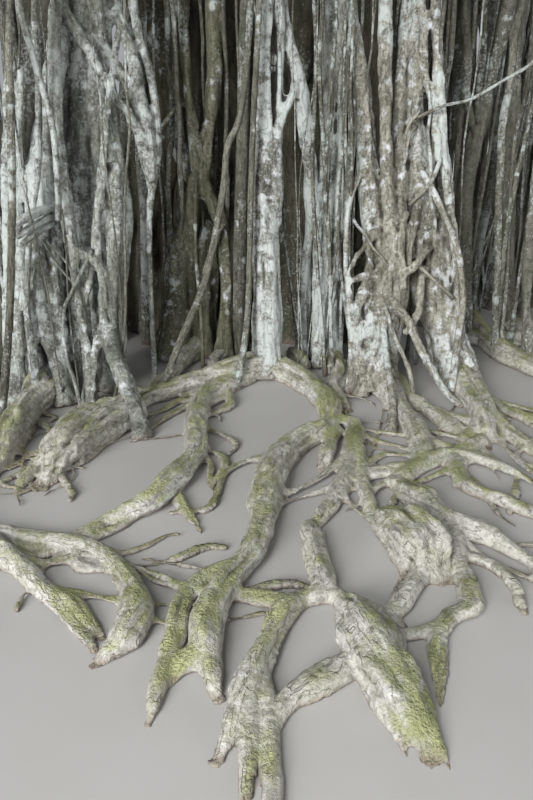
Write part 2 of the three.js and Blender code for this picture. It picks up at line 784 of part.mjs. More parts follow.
function clearOfLimbs(solid) {
  const box = solid.boundingBox();
  return built.every((other) => !boxesMeet(box, other.boundingBox()) || solid.intersect(other).isEmpty());
}

function leafHeart(mass) {
  const { middle, size, seed } = mass;
  const lumpy = new THREE.IcosahedronGeometry(1, 1);
  const place = lumpy.attributes.position;
  for (let i = 0; i < place.count; i++) {
    const [x, y, z] = [place.getX(i), place.getY(i), place.getZ(i)];
    const way = new THREE.Vector3(x * size[0], y * size[1], z * size[2]);
    let lump = heartShare + 0.05 * (Math.sin(5 * x + seed) + Math.sin(6 * y - seed)) + 0.03 * Math.sin(7 * z);
    const at = () => new THREE.Vector3(...middle).addScaledVector(way, lump);
    while (lump > 0.3 && !ownSpace(at(), mass)) lump *= 0.96;
    place.setXYZ(i, ...at().toArray());
  }
  return toSolid(lumpy);
}

// The spray on a twig, shortened until its tip stays in the mass's own space
function sprayAt(start, end, mass, random) {
  const outward = end.clone().sub(start).normalize();
  const up = new THREE.Vector3(0.6 * (random() - 0.5), 0.6 * (random() - 0.5), 1);
  up.addScaledVector(outward, 0.5);
  const way = outward.clone().add(droop).normalize();
  const blade = { start, end, way, up, length: leafLength * (0.85 + 0.3 * random()) };
  const tip = () => end.clone().addScaledVector(way, blade.length);
  while (blade.length > leafLength * 0.5 && !ownSpace(tip(), mass)) blade.length *= 0.92;
  const solid = leafSpray(blade);
  return ownSpace(tip(), mass) && clearOfLimbs(solid) ? solid : null;
}

function leafMass(mass) {
  const { middle, size, sprays, seed, stemFrom, outward } = mass;
  const random = seeded(seed);
  const heart = new THREE.Vector3(...middle);
  const halfway = stemFrom.clone().lerp(heart, 0.5);
  const stem = limb({ route: [stemFrom.toArray(), halfway.toArray(), middle], thick: [75, 65, 40] });
  const solids = [leafHeart(mass), stem];
  let placed = 0;
  for (let i = 0; i < 5 * sprays && placed < sprays; i++) {
    // straight out from the tree, then directions that stay evenly spread over a ball
    const z = 1 - 2 * ((i * twigRise + seed * 0.37) % 1);
    const turn = i * twigTurn * 2 * Math.PI;
    const level = Math.sqrt(1 - z * z);
    const way = i === 0 ? outward.clone()
      : new THREE.Vector3(level * Math.cos(turn), level * Math.sin(turn), z);
    way.multiply(new THREE.Vector3(...size));
    const start = heart.clone().addScaledVector(way, twigFrom);
    const end = heart.clone().addScaledVector(way, twigTo);
    const spray = ownSpace(end, mass) ? sprayAt(start, end, mass, random) : null;
    if (!spray) continue;
    solids.push(spray);
    placed += 1;
  }
  return wasm.Manifold.union(solids).simplify(leafSliver);
}

const lowMasses = lowBoughs.map(({ tipWay, reach, height }, i) => ({
  name: lowBoughNames[i].replace("bough", "foliage"),
  middle: [tipWay.x * reach, tipWay.y * reach, height],
  size: lowMassSize,
  outward: new THREE.Vector3(tipWay.x, tipWay.y, 0),
  sprays: 8,
  seed: 100 + i,
  stemFrom: boughTips[i],
}));
const upperMasses = highBoughs.map(({ way, reach, height }, i) => ({
  name: `upper_foliage_${i + 1}`,
  middle: [way.x * reach, way.y * reach, height],
  size: upperMassSize,
  outward: new THREE.Vector3(way.x, way.y, 0),
  sprays: 7,
  seed: 120 + i,
  stemFrom: boughTips[lowBoughs.length + i],
}));
const topMass = {
  name: "top_foliage",
  middle: [0, 0, topHeight],
  size: topMassSize,
  outward: new THREE.Vector3(0, 0, 1),
  sprays: 7,
  seed: 140,
  stemFrom: boughTips.at(-1),
};
const masses = [...lowMasses, ...upperMasses, topMass];
for (const mass of masses) {
  const solid = leafMass(mass);
  addSolid(mass.name, solid, solid, foliage);
}

export default tree;
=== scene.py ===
import math

import bpy
import numpy as np
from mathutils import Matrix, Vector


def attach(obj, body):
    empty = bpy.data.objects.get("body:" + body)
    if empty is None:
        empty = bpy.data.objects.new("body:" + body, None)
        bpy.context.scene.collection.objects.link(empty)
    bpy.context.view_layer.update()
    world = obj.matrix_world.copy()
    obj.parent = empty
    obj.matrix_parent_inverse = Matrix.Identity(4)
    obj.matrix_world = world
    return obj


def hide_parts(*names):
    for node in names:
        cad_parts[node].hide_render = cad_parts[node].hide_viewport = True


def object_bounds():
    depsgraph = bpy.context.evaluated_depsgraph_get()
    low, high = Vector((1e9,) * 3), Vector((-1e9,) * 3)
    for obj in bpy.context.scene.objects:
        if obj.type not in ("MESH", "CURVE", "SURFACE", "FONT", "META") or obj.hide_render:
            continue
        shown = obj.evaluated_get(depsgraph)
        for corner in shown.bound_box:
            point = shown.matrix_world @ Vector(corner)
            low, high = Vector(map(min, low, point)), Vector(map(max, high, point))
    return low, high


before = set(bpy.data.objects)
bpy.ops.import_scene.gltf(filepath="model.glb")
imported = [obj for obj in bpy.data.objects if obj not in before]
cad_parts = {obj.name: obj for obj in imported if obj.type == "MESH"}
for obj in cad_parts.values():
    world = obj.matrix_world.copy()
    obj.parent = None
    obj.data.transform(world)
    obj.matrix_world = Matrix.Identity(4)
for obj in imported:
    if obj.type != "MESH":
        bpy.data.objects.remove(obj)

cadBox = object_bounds()
print("frame loaded:", len(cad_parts), "nodes")

photoView = {"place": (0, -6.2, 1.65), "tilt": 68, "lens": 31.5, "sensor": 36}

tree = {
    "forkHeight": 4.45,  # middle of the trunk's head, where the boughs part
    "crownRadius": 6.35,  # outer leaf masses: distance of their middles from the axis
    "crownHeight": 7.0,  # and height
    "upperRadius": 3.3,
    "upperHeight": 9.5,
    "topHeight": 11.5,
    "lowMassSize": (3.25, 3.25, 2.3),  # half sizes of the leaf masses
    "upperMassSize": (2.8, 2.8, 2.1),
    "topMassSize": (2.8, 2.8, 1.9),
    "forkDirections": (236, 273, 309, 347, 27, 78, 130, 182),  # compass of each low bough, +X first
    "upperDirections": (12, 84, 156, 228, 300),
}


# Repeatable numbers between 0 and 1, the same rule as the solids use
def seeded(seed):
    state = (seed * 2654435761) & 0xFFFFFFFF
    while True:
        state = (state * 1664525 + 1013904223) & 0xFFFFFFFF
        yield state / 4294967296


noiseTable = np.random.default_rng(7).random((32, 32, 32)) * 2 - 1


# Smooth noise between -1 and 1: values on a lattice, blended by 3f^2 - 2f^3 along x, then y, then z
def softNoise(places, frequency, shift=0.0):
    at = places * np.asarray(frequency, float) + shift
    low = np.floor(at).astype(np.int64)
    part = at - low
    fx, fy, fz = (part * part * (3 - 2 * part)).T
    corner = [((low + k) & 31).T for k in (0, 1)]
    layers = []
    for z in (corner[0][2], corner[1][2]):
        rows = [noiseTable[corner[0][0], y, z] * (1 - fx) + noiseTable[corner[1][0], y, z] * fx
                for y in (corner[0][1], corner[1][1])]
        layers.append(rows[0] * (1 - fy) + rows[1] * fy)
    return layers[0] * (1 - fz) + layers[1] * fz


# Vectors brought to length 1; a little to spare keeps one of no length from dividing by nothing
def unit(vectors, spare=0.0):
    return vectors / (np.linalg.norm(vectors, axis=-1)[..., None] + spare)


# Points of a centripetal Catmull-Rom curve: where counts the route's points from 0
def curveAt(route, where):
    points = np.array(route, float)
    last = len(points) - 2
    points = np.vstack([2 * points[0] - points[1], points, 2 * points[-1] - points[-2]])
    span = np.linalg.norm(np.diff(points, axis=0), axis=1) ** 0.5
    leg = np.minimum(np.asarray(where).astype(int), last)
    t = (where - leg)[:, None]
    p0, p1, p2, p3 = (points[leg + k] for k in range(4))
    d0, d1, d2 = (span[leg + k][:, None] for k in range(3))
    m1 = ((p1 - p0) / d0 - (p2 - p0) / (d0 + d1) + (p2 - p1) / d1) * d1
    m2 = ((p2 - p1) / d1 - (p3 - p1) / (d1 + d2) + (p3 - p2) / d2) * d1
    return p1 + m1 * t + (3 * (p2 - p1) - 2 * m1 - m2) * t**2 + (2 * (p1 - p2) + m1 + m2) * t**3


# The curve sampled about every step, with the thickness read off evenly along the route
def smoothPath(route, thick, step):
    chord = np.linalg.norm(np.diff(np.array(route, float), axis=0), axis=1)
    reach = np.concatenate([[0], np.cumsum(chord)])
    count = max(int(reach[-1] / step), 3)
    where = np.interp(np.linspace(0, reach[-1], count + 1), reach, np.arange(len(reach)))
    share = where / (len(reach) - 1)
    return curveAt(route, where), np.interp(share, np.linspace(0, 1, len(thick)), thick)


# Directions along a path and the two square to it, from the axis that it least follows
def framesAlong(path):
    tangent = unit(np.gradient(path, axis=0))
    reference = np.eye(3)[np.argmin(np.abs(tangent).max(axis=0))]
    side = unit(reference - (tangent @ reference)[:, None] * tangent)
    return tangent, side, np.cross(tangent, side)


# A bar along a path: the ring at angle a lies at path + radius * spread * (side cos a + rise sin a),
# kept at or above the ground, and both ends are closed by a fan
def tube(path, radius, sides=12, spread=None):
    side, rise = framesAlong(path)[1:]
    angle = np.linspace(0, 2 * math.pi, sides, endpoint=False)
    reach = radius[:, None] * (1 if spread is None else spread(angle, np.linspace(0, 1, len(path))[:, None]))
    ring = side[:, None] * np.cos(angle)[None, :, None] + rise[:, None] * np.sin(angle)[None, :, None]
    places = path[:, None] + np.broadcast_to(reach, ring.shape[:2])[..., None] * ring
    places = np.vstack([places.reshape(-1, 3), path[:1], path[-1:]])
    places[:, 2] = np.maximum(places[:, 2], 0)
    grid = np.arange(len(path) * sides).reshape(len(path), sides)
    turned = np.roll(grid, -1, axis=1)
    skin = np.stack([grid[:-1], turned[:-1], turned[1:], grid[1:]], axis=-1).reshape(-1, 4)
    even = np.arange(0, sides, 2)
    first, last = len(places) - 2, len(places) - 1
    foot = np.stack([np.full(len(even), first), (even + 2) % sides, even + 1, even], axis=-1)
    top = (len(path) - 1) * sides
    head = np.stack([np.full(len(even), last), top + even, top + even + 1, top + (even + 2) % sides],
                    axis=-1)
    return places, np.vstack([skin, foot, head])


# Arrays of vertex places and of faces with three or four corners become a mesh
def makeMesh(name, places, faceArrays, smooth=True):
    mesh = bpy.data.meshes.new(name)
    mesh.vertices.add(len(places))
    mesh.vertices.foreach_set("co", places.astype(np.float32).ravel())
    corners = np.concatenate([faces.ravel() for faces in faceArrays]).astype(np.int32)
    counts = np.concatenate([np.full(len(faces), faces.shape[1]) for faces in faceArrays])
    mesh.loops.add(len(corners))
    mesh.loops.foreach_set("vertex_index", corners)
    mesh.polygons.add(len(counts))
    mesh.polygons.foreach_set("loop_start", (np.cumsum(counts) - counts).astype(np.int32))
    mesh.update(calc_edges=True)
    if smooth:
        mesh.shade_smooth()
    return mesh


# Shapes as one mesh. A shape is its places and faces, and for a limb's own bar also path and radius
def meshOf(name, shapes):
    starts = np.cumsum([0] + [len(shape[0]) for shape in shapes[:-1]])
    faces = np.vstack([shape[1] + start for shape, start in zip(shapes, starts)])
    return makeMesh(name, np.vstack([shape[0] for shape in shapes]), [faces])


def placePiece(name, mesh, nodes, materials):
    piece = bpy.data.objects.new(name, mesh)
    bpy.context.collection.objects.link(piece)
    for material in materials:
        mesh.materials.append(material)
    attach(piece, "root")
    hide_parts(*nodes)
    print(name, len(mesh.loops) - 2 * len(mesh.polygons), "triangles")


def readRows(values, key):
    rows = np.empty(len(values) * 3, np.float32)
    values.foreach_get(key, rows)
    return rows.reshape(-1, 3)


# Every edge of a mesh, both ways: the vertex that it leaves and the one that it meets
def linksOf(mesh):
    edges = np.empty(len(mesh.edges) * 2, np.int32)
    mesh.edges.foreach_get("vertices", edges)
    near, far = edges.reshape(-1, 2).T
    return np.concatenate([near, far]), np.concatenate([far, near])


# The mesh without parts of few vertices, such as crumbs of a thin root's end. Parts that hang
# together get one number: every vertex takes its neighbours' lowest, until none changes
def withoutCrumbs(mesh, fewest=500):
    near, far = linksOf(mesh)
    number, before = np.arange(len(mesh.vertices)), None
    while not np.array_equal(number, before):
        before, number = number, number.copy()
        np.minimum.at(number, before[near], np.minimum(before[near], before[far]))
        number = number[number]
    kept = np.bincount(number, minlength=len(number))[number] >= fewest
    corners = np.empty(len(mesh.loops), np.int32)
    mesh.loops.foreach_get("vertex_index", corners)
    faces = corners.reshape(-1, 4)
    renumbered = np.cumsum(kept) - 1
    return makeMesh(mesh.name, readRows(mesh.vertices, "co")[kept], [renumbered[faces[kept[faces[:, 0]]]]])


# Overlapping bars melt into one skin on a grid of voxels, which is then smoothed
def fuse(name, shapes, voxel, smoothing=3):
    rough = bpy.data.objects.new(name, meshOf(name, shapes))
    bpy.context.collection.objects.link(rough)
    melt = rough.modifiers.new("melt", "REMESH")
    melt.mode = "VOXEL"
    melt.voxel_size = voxel
    melt.use_smooth_shade = True
    soften = rough.modifiers.new("soften", "SMOOTH")
    soften.factor = 0.5
    soften.iterations = smoothing
    fused = bpy.data.meshes.new_from_object(rough.evaluated_get(bpy.context.evaluated_depsgraph_get()))
    bpy.data.objects.remove(rough)
    return withoutCrumbs(fused)


# Where one limb's bark gives way to the next: how far a limb reaches past its radius, how the seam
# fades from ring to ring, and over how many rings and rounds the relief is evened out
seams = {"limbPull": 1.7, "limbStep": 2.3, "fade": 0.7, "fadeRings": 4, "evenRings": 5, "evenRounds": 14}


# Flow: where a place lies on its limb. The nearest sample s of the bars' paths, by |p - s|^2 less the
# pull times r^2, gives the distance along its path and the offsets to its two sides. The limb's
# number goes with it
def flowAlong(places, shapes):
    bars = [shape for shape in shapes if len(shape) == 4]
    paths, thick = [bar[2] for bar in bars], np.concatenate([bar[3] for bar in bars])
    tangent, side, rise = (np.vstack(parts) for parts in zip(*(framesAlong(path) for path in paths)))
    reach = np.concatenate([np.append(0, np.linalg.norm(np.diff(path, axis=0), axis=1)).cumsum()
                            + seams["limbStep"] * i for i, path in enumerate(paths)])
    samples = np.vstack(paths).astype(np.float32)
    own = (samples**2).sum(axis=1) - seams["limbPull"] * thick.astype(np.float32) ** 2
    near = np.concatenate([(own - 2 * some.astype(np.float32) @ samples.T).argmin(axis=1)
                           for some in np.array_split(places, len(places) // 4096 + 1)])
    offset = places - samples[near]
    flow = np.column_stack([reach[near] + (offset * tangent[near]).sum(axis=1),
                            (offset * side[near]).sum(axis=1), (offset * rise[near]).sum(axis=1)])
    return flow, np.repeat(np.arange(len(bars)), [len(path) for path in paths])[near]


# Within a few rings of a seam between two limbs the push becomes the average of its neighbours',
# over and over. The seam attribute is 1 at the seam and falls ring by ring, for the grain to fade by
def evenSeams(mesh, push, limb):
    near, far = linksOf(mesh)
    seam = np.zeros(len(push), bool)
    seam[near[limb[near] != limb[far]]] = True
    soft = seam.astype(np.float32)
    for ring in range(seams["fadeRings"]):
        spread = soft.copy()
        np.maximum.at(spread, near, soft[far] * seams["fade"])
        soft = spread
    mesh.attributes.new("seam", "FLOAT", "POINT").data.foreach_set("value", soft)
    for ring in range(seams["evenRings"]):
        reached = seam.copy()
        reached[near[seam[far]]] = True
        seam = reached
    count = np.maximum(np.bincount(near, minlength=len(push)), 1)
    for i in range(seams["evenRounds"]):
        push = np.where(seam, np.bincount(near, push[far], len(push)) / count, push)
    return push


# The flow is kept on the mesh for the bark's grain
def keepFlow(mesh, flow):
    kept = mesh.attributes.new("flow", "FLOAT_VECTOR", "POINT")
    kept.data.foreach_set("vector", flow.astype(np.float32).ravel())


# Bark relief: each layer pushes the skin along its normal by height * noise, or by
# height * (0.6 - 2|noise|) where it is ridged. The noise is read on the flow, so that its frequency
# along a limb is the first one. Upright pieces, given without shapes, take z, x, y as their flow.
# Near the ground the skin spreads by the flare
def addRelief(mesh, layers, shapes=None, flare=0.0, flareHeight=0.1):
    places = readRows(mesh.vertices, "co").astype(float)
    normals = readRows(mesh.vertex_normals, "vector")
    push = np.zeros(len(places))
    flow, limb = flowAlong(places, shapes) if shapes else (places[:, [2, 0, 1]].copy(), None)
    keepFlow(mesh, flow)
    for i, layer in enumerate(layers):
        wave = softNoise(flow, layer["frequency"], 11.3 * i)
        push += layer["height"] * (0.6 - 2 * np.abs(wave) if layer.get("ridged") else wave)
    near = np.clip(1 - places[:, 2] / flareHeight, 0, 1)[:, None] ** 2
    places += normals * (push if limb is None else evenSeams(mesh, push, limb))[:, None]
    places[:, :2] += normals[:, :2] * flare * near
    places[:, 2] = np.maximum(places[:, 2], 0)
    mesh.vertices.foreach_set("co", places.astype(np.float32).ravel())
    mesh.update()


# Crease shade: how far each vertex lies under the average of its surroundings, in mean edge lengths.
# The bark darkens by it, as painted shade in creases and in the gaps between strands
def addCreaseShade(mesh, rounds=7):
    places, (near, far) = readRows(mesh.vertices, "co"), linksOf(mesh)
    count = np.bincount(near, minlength=len(places))
    smooth = places.astype(float)
    for i in range(rounds):
        smooth = np.column_stack([np.bincount(near, smooth[far, axis], len(places)) / count
                                  for axis in range(3)])
    edge = np.linalg.norm(places[near] - places[far], axis=1).mean()
    sunk = ((smooth - places) * readRows(mesh.vertex_normals, "vector")).sum(axis=1) / edge
    mesh.attributes.new("creaseShade", "FLOAT", "POINT").data.foreach_set("value", sunk.astype(np.float32))


barForm = {"knots": 0.09, "knotFrequency": 5, "sides": 20, "depth": 0.07, "flutes": 5,
           "roped": 0.06}  # bars thicker than this carry ropes
ropeForm = {"thick": (0.16, 0.34), "latestStart": 0.5, "shortest": 0.55, "turn": 0.9, "wander": 0.25,
            "waves": (4, 9), "endFade": 8, "sides": 8}


# Thin roots fused along a bar: each keeps to the bar's skin and fades at its ends. At the share t of
# its length it stands at its own angle + turn * t + wander * sin(waves * t) round the bar
def ropesAlong(path, radius, count, seed):
    random = np.random.default_rng(seed)
    tangent, side, rise = framesAlong(path)
    shapes = []
    for i in range(count):
        low = int(len(path) * random.uniform(0, ropeForm["latestStart"]) * (i % 3 > 0))
        high = int(low + (len(path) - low) * random.uniform(ropeForm["shortest"], 1)) + 1
        part = slice(low, max(min(high, len(path) - 2), low + 4))
        along = np.linspace(0, 1, len(path[part]))
        turn = 2 * math.pi * (i + random.uniform(-0.3, 0.3)) / count
        turn = turn + random.uniform(-ropeForm["turn"], ropeForm["turn"]) * along
        turn = turn + ropeForm["wander"] * np.sin(random.uniform(*ropeForm["waves"]) * along)
        out = side[part] * np.cos(turn)[:, None] + rise[part] * np.sin(turn)[:, None]
        thick = radius[part] * random.uniform(*ropeForm["thick"])
        fade = np.clip(np.minimum(along, 1 - along) * ropeForm["endFade"], 0.25, 1)
        sink = radius[part] - thick * (1.4 - fade)
        shapes.append(tube(path[part] + out * sink[:, None], thick * (0.4 + 0.6 * fade), ropeForm["sides"]))
    return shapes


# Limbs as bars through their routes: the radius is thick * (1 + knots * noise), and its spread at the
# angle a is 1 + depth * cos(flutes * a + phase + 3t). The thick ones carry ropes
def limbShapes(limbs, step=0.05, sides=barForm["sides"], ropes=0, seed=1, depth=barForm["depth"]):
    shapes = []
    for i, limb in enumerate(limbs):
        path, radius = smoothPath(limb["route"], limb["thick"], step)
        knots = 1 + barForm["knots"] * softNoise(path, barForm["knotFrequency"], seed + 3.7 * i)
        flutes = limb.get("flutes", barForm["flutes"])
        spread = limb.get("spread") or (lambda angle, t, flutes=flutes, phase=seed + i:
                                        1 + depth * np.cos(flutes * angle + phase + 3 * t))
        shapes.append((*tube(path, radius * knots, sides, spread), path, radius))
        if ropes and radius.max() > barForm["roped"]:
            shapes += ropesAlong(path, radius, ropes, seed * 31 + i)
    return shapes


# Limbs, given as rows of points (x, y, z, half width) in millimetres. A root on the ground has
# (x, y, half width), and its row may start with the height of its crest as a share of the half width
def limbsOf(rows):
    limbs = []
    for row in rows:
        crest, points = (0.5, row) if isinstance(row[0], tuple) else (row[0], row[1:])
        points = [tuple(value / 1000 for value in point) for point in points]
        limbs.append({"route": [point[:-1] for point in points], "thick": [point[-1] for point in points],
                      "crest": crest})
    return limbs


# Pillar roots and aerial roots that the photo shows, each a bundle of fused bars
innerRoots = limbsOf([
    [(-600, -900, 0, 250), (-580, -850, 340, 200), (-570, -800, 780, 150), (-480, -780, 1250, 80)],
    [(-480, -780, 1050, 50), (-550, -790, 1700, 36), (-580, -780, 2380, 34), (-560, -650, 3500, 60)],
    [(-470, -780, 1050, 50), (-390, -790, 1760, 38), (-330, -780, 2380, 38), (-260, -650, 3500, 60)],
    [(-370, -1190, 0, 110), (-290, -1000, 310, 95), (-210, -800, 800, 85), (-160, -600, 1500, 60)],
])
leftTrunk = limbsOf([
    [(-1280, -1900, 0, 190), (-1210, -1800, 560, 140), (-1130, -1700, 1170, 150), (-1080, -1600, 1690, 150),
     (-1040, -1530, 2300, 120), (-980, -1350, 3100, 130), (-790, -1120, 3950, 150)],
    [(-1430, -2060, 0, 100), (-1380, -1950, 850, 75), (-1330, -1900, 1310, 85), (-1240, -1780, 1780, 60),
     (-1100, -1500, 2700, 50)],
    [(-1010, -1890, 0, 100), (-1000, -1800, 560, 80), (-955, -1700, 1050, 100), (-980, -1600, 1600, 75),
     (-1010, -1450, 2600, 60)],
    [(-1090, -2190, 0, 40), (-1100, -2090, 450, 36), (-1160, -2000, 1150, 40), (-1195, -1900, 1690, 38),
     (-1170, -1780, 2230, 34), (-1060, -1450, 3000, 34)],
    [(-950, -1850, 860, 50), (-955, -2130, 450, 48), (-850, -2340, 240, 45), (-735, -2550, 90, 45),
     (-680, -2700, 10, 36)],
    [(-950, -1330, 2950, 36), (-890, -1520, 2290, 34), (-770, -1690, 1930, 34), (-700, -1780, 1560, 32),
     (-690, -1790, 1290, 24)],
    [(-850, -1300, 3000, 26), (-770, -1560, 2200, 24), (-670, -1680, 1800, 23), (-655, -1750, 1450, 24),
     (-720, -1770, 1100, 18), (-760, -1750, 0, 15)],
])
middleStem = limbsOf([
    [(0, -1680, 0, 125), (0, -1600, 650, 88), (-25, -1550, 1160, 78), (-20, -1500, 1750, 48),
     (-10, -1490, 2300, 44), (20, -1330, 3200, 52), (60, -1150, 4350, 65)],
    [(50, -1570, 1000, 50), (75, -1470, 1750, 35), (65, -1450, 2300, 34), (80, -1300, 3200, 40),
     (110, -1130, 4300, 50)],
    [(70, -1420, 2600, 40), (130, -1400, 2090, 44), (205, -1440, 1880, 44), (250, -1430, 1600, 44),
     (300, -1320, 1230, 42), (290, -1230, 700, 40), (270, -1260, 0, 48)],
    [(200, -1440, 1890, 32), (150, -1490, 1750, 32), (80, -1520, 1600, 30), (10, -1550, 1330, 34)],
])
middleBundle = limbsOf([
    [(430, -1470, 0, 105), (415, -1400, 610, 84), (430, -1350, 1140, 76), (415, -1300, 1750, 56),
     (410, -1280, 2320, 52), (420, -1130, 3200, 56), (520, -960, 4000, 65)],
    [(470, -1470, 620, 34), (485, -1440, 1150, 27), (475, -1390, 1630, 25), (462, -1340, 2090, 25),
     (440, -1180, 3000, 28)],
    [(350, -1330, 0, 34), (352, -1300, 800, 28), (365, -1280, 1500, 28), (380, -1220, 2400, 30)],
])
rightTrunk = limbsOf([
    [(710, -1970, 0, 160), (712, -1860, 310, 130), (745, -1800, 630, 138), (790, -1700, 960, 110),
     (820, -1620, 1250, 70), (830, -1540, 1550, 25)],
    [(1290, -1870, 0, 140), (1180, -1760, 330, 125), (1095, -1700, 610, 135), (1020, -1650, 980, 110),
     (980, -1590, 1280, 70), (960, -1530, 1600, 25)],
    [(735, -1760, 780, 85), (670, -1650, 1080, 76), (625, -1550, 1460, 62), (585, -1480, 1850, 46),
     (500, -1400, 2300, 40), (520, -1200, 3200, 46), (560, -1030, 3900, 60)],
    [(790, -1750, 900, 62), (752, -1690, 1230, 40), (730, -1600, 1630, 37), (700, -1490, 2290, 36),
     (690, -1300, 3200, 42), (690, -1020, 3950, 52)],
    [(870, -1700, 880, 70), (865, -1600, 1190, 52), (835, -1500, 1500, 44), (835, -1440, 1830, 46),
     (870, -1340, 2320, 46), (850, -1150, 3200, 50), (790, -980, 3900, 60)],
    [(990, -1740, 820, 84), (950, -1650, 1200, 56), (925, -1550, 1600, 42), (915, -1470, 2000, 38),
     (900, -1340, 2600, 36), (870, -1050, 3900, 56)],
    [(950, -1200, 3200, 30), (1000, -1470, 2290, 30), (1050, -1590, 1750, 28), (1105, -1700, 1290, 27),
     (1190, -1800, 820, 26), (1225, -1880, 450, 25), (1215, -1980, 0, 30)],
    [(722, -1920, 620, 18), (725, -1990, 450, 18), (731, -2100, 312, 18), (739, -2300, 171, 19),
     (735, -2450, 75, 21), (691, -2660, 4, 14)],
    [(760, -1900, 620, 26), (793, -1945, 573, 26), (877, -1990, 480, 24), (950, -2030, 330, 22),
     (1030, -2100, 190, 22), (1110, -2160, 75, 22), (1200, -2235, 4, 12)],
])
greyStem = limbsOf([
    [(1530, -900, 0, 84), (1500, -850, 640, 64), (1480, -800, 1150, 60), (1525, -750, 1450, 62),
     (1600, -660, 1850, 50), (1700, -620, 2500, 48), (1640, -600, 3300, 50), (1500, -400, 4650, 60)],
    [(1260, -800, 3600, 34), (1300, -880, 2500, 30), (1385, -880, 1950, 30), (1410, -840, 1750, 30),
     (1520, -770, 1530, 34)],
])
greenStem = limbsOf([
    [(1990, -620, 0, 95), (1950, -580, 300, 64), (1900, -500, 1050, 60), (1850, -400, 2050, 57),
     (1860, -320, 3000, 58), (1770, -400, 4800, 66)],
])
rightEdgeStem = limbsOf([
    [(1890, -1510, 0, 52), (1815, -1450, 330, 37), (1790, -1400, 810, 33), (1795, -1300, 1750, 32),
     (1700, -1250, 2900, 34), (1230, -1440, 4450, 46)],
    [(1700, -1270, 0, 20), (1665, -1250, 780, 17), (1700, -1260, 1400, 17), (1760, -1280, 2100, 18)],
])
crossingRoot = limbsOf([
    [(-30, -1230, 4350, 22), (-60, -1530, 3000, 19), (-90, -1600, 2280, 18), (-135, -1600, 1800, 18),
     (-180, -1600, 1600, 18), (-235, -1610, 1500, 19), (-270, -1650, 1230, 20), (-390, -1800, 690, 22),
     (-560, -1980, 300, 24), (-680, -2060, 0, 26)],
])
greenAerialRoot = limbsOf([
    [(-60, -1030, 4250, 36), (-110, -1180, 2900, 36), (-140, -1200, 1990, 38), (-165, -1200, 1400, 42),
     (-190, -1260, 700, 44), (-210, -1320, 0, 52)],
])
leftAerialRoot = limbsOf([
    [(-1000, -1500, 4300, 24), (-1180, -1950, 3200, 22), (-1290, -2200, 2190, 20), (-1370, -2300, 1240, 20),
     (-1470, -2350, 520, 21), (-1570, -2400, 0, 26)],
])

# Surface roots in front
frontRoots = limbsOf([
    [0.62, (20, -1640, 105), (150, -1760, 80), (290, -2000, 62), (370, -2320, 66), (330, -2620, 62),
     (180, -2800, 66), (70, -3030, 72), (0, -3290, 72), (-20, -3600, 62), (-60, -3850, 58),
     (-150, -4030, 55), (-200, -4200, 56), (-200, -4380, 50), (-150, -4560, 24)],
    [(-80, -3900, 50), (-240, -3990, 40), (-310, -4130, 32), (-315, -4350, 30), (-335, -4530, 26),
     (-345, -4660, 12)],
    [(380, -2450, 40), (490, -2560, 46), (455, -2850, 44), (380, -3190, 40), (290, -3430, 38),
     (190, -3630, 34)],
    [(185, -3600, 36), (200, -3870, 50), (205, -4060, 46), (120, -4110, 36), (-30, -4110, 30),
     (-150, -4060, 24)],
    [(200, -4050, 34), (300, -4120, 34), (390, -4190, 36), (470, -4240, 30)],
    [0.3, (300, -4120, 50), (350, -4330, 100), (385, -4500, 88), (425, -4650, 60), (455, -4780, 30)],
    [(110, -4120, 40), (60, -4190, 52), (0, -4340, 50), (-50, -4490, 48), (-90, -4650, 40),
     (-140, -4780, 22)],
    [(290, -4420, 46), (150, -4520, 34), (60, -4590, 28), (5, -4700, 22), (-10, -4850, 8)],
    [0.42, (490, -3560, 66), (570, -3700, 108), (630, -3860, 112), (660, -3940, 60)],
    [(630, -3900, 44), (530, -4060, 32), (440, -4180, 30), (360, -4240, 34)],
])
frontLeftRoots = limbsOf([
    [0.8, (20, -1640, 80), (-90, -1700, 96), (-260, -1850, 88), (-480, -1960, 66), (-700, -2160, 52),
     (-830, -2330, 46)],
    [0.45, (-780, -2290, 70), (-930, -2560, 118), (-1050, -2950, 110), (-1090, -3230, 50)],
    [(-140, -1760, 70), (-260, -1960, 72), (-390, -2180, 60), (-400, -2560, 58), (-370, -2900, 64),
     (-440, -3220, 66), (-560, -3470, 52), (-720, -3580, 34), (-860, -3690, 20)],
    [(-700, -3560, 30), (-770, -3780, 26), (-730, -3900, 24), (-600, -3920, 20)],
])
leftFrontRoots = limbsOf([
    [0.6, (-1400, -2080, 110), (-1420, -2400, 80), (-1400, -2750, 84), (-1380, -3050, 64),
     (-1420, -3350, 36)],
    [(-1420, -3250, 44), (-1260, -3640, 36), (-1160, -3660, 34), (-890, -3730, 36), (-710, -3790, 38),
     (-580, -3900, 38), (-490, -4060, 44), (-455, -4200, 56), (-480, -4330, 52), (-560, -4420, 24)],
    [(-1330, -3560, 40), (-1120, -3760, 46), (-1000, -3880, 42), (-830, -4060, 36), (-690, -4200, 30),
     (-570, -4350, 18)],
    [(-860, -4030, 26), (-700, -4120, 24), (-560, -4290, 14)],
])
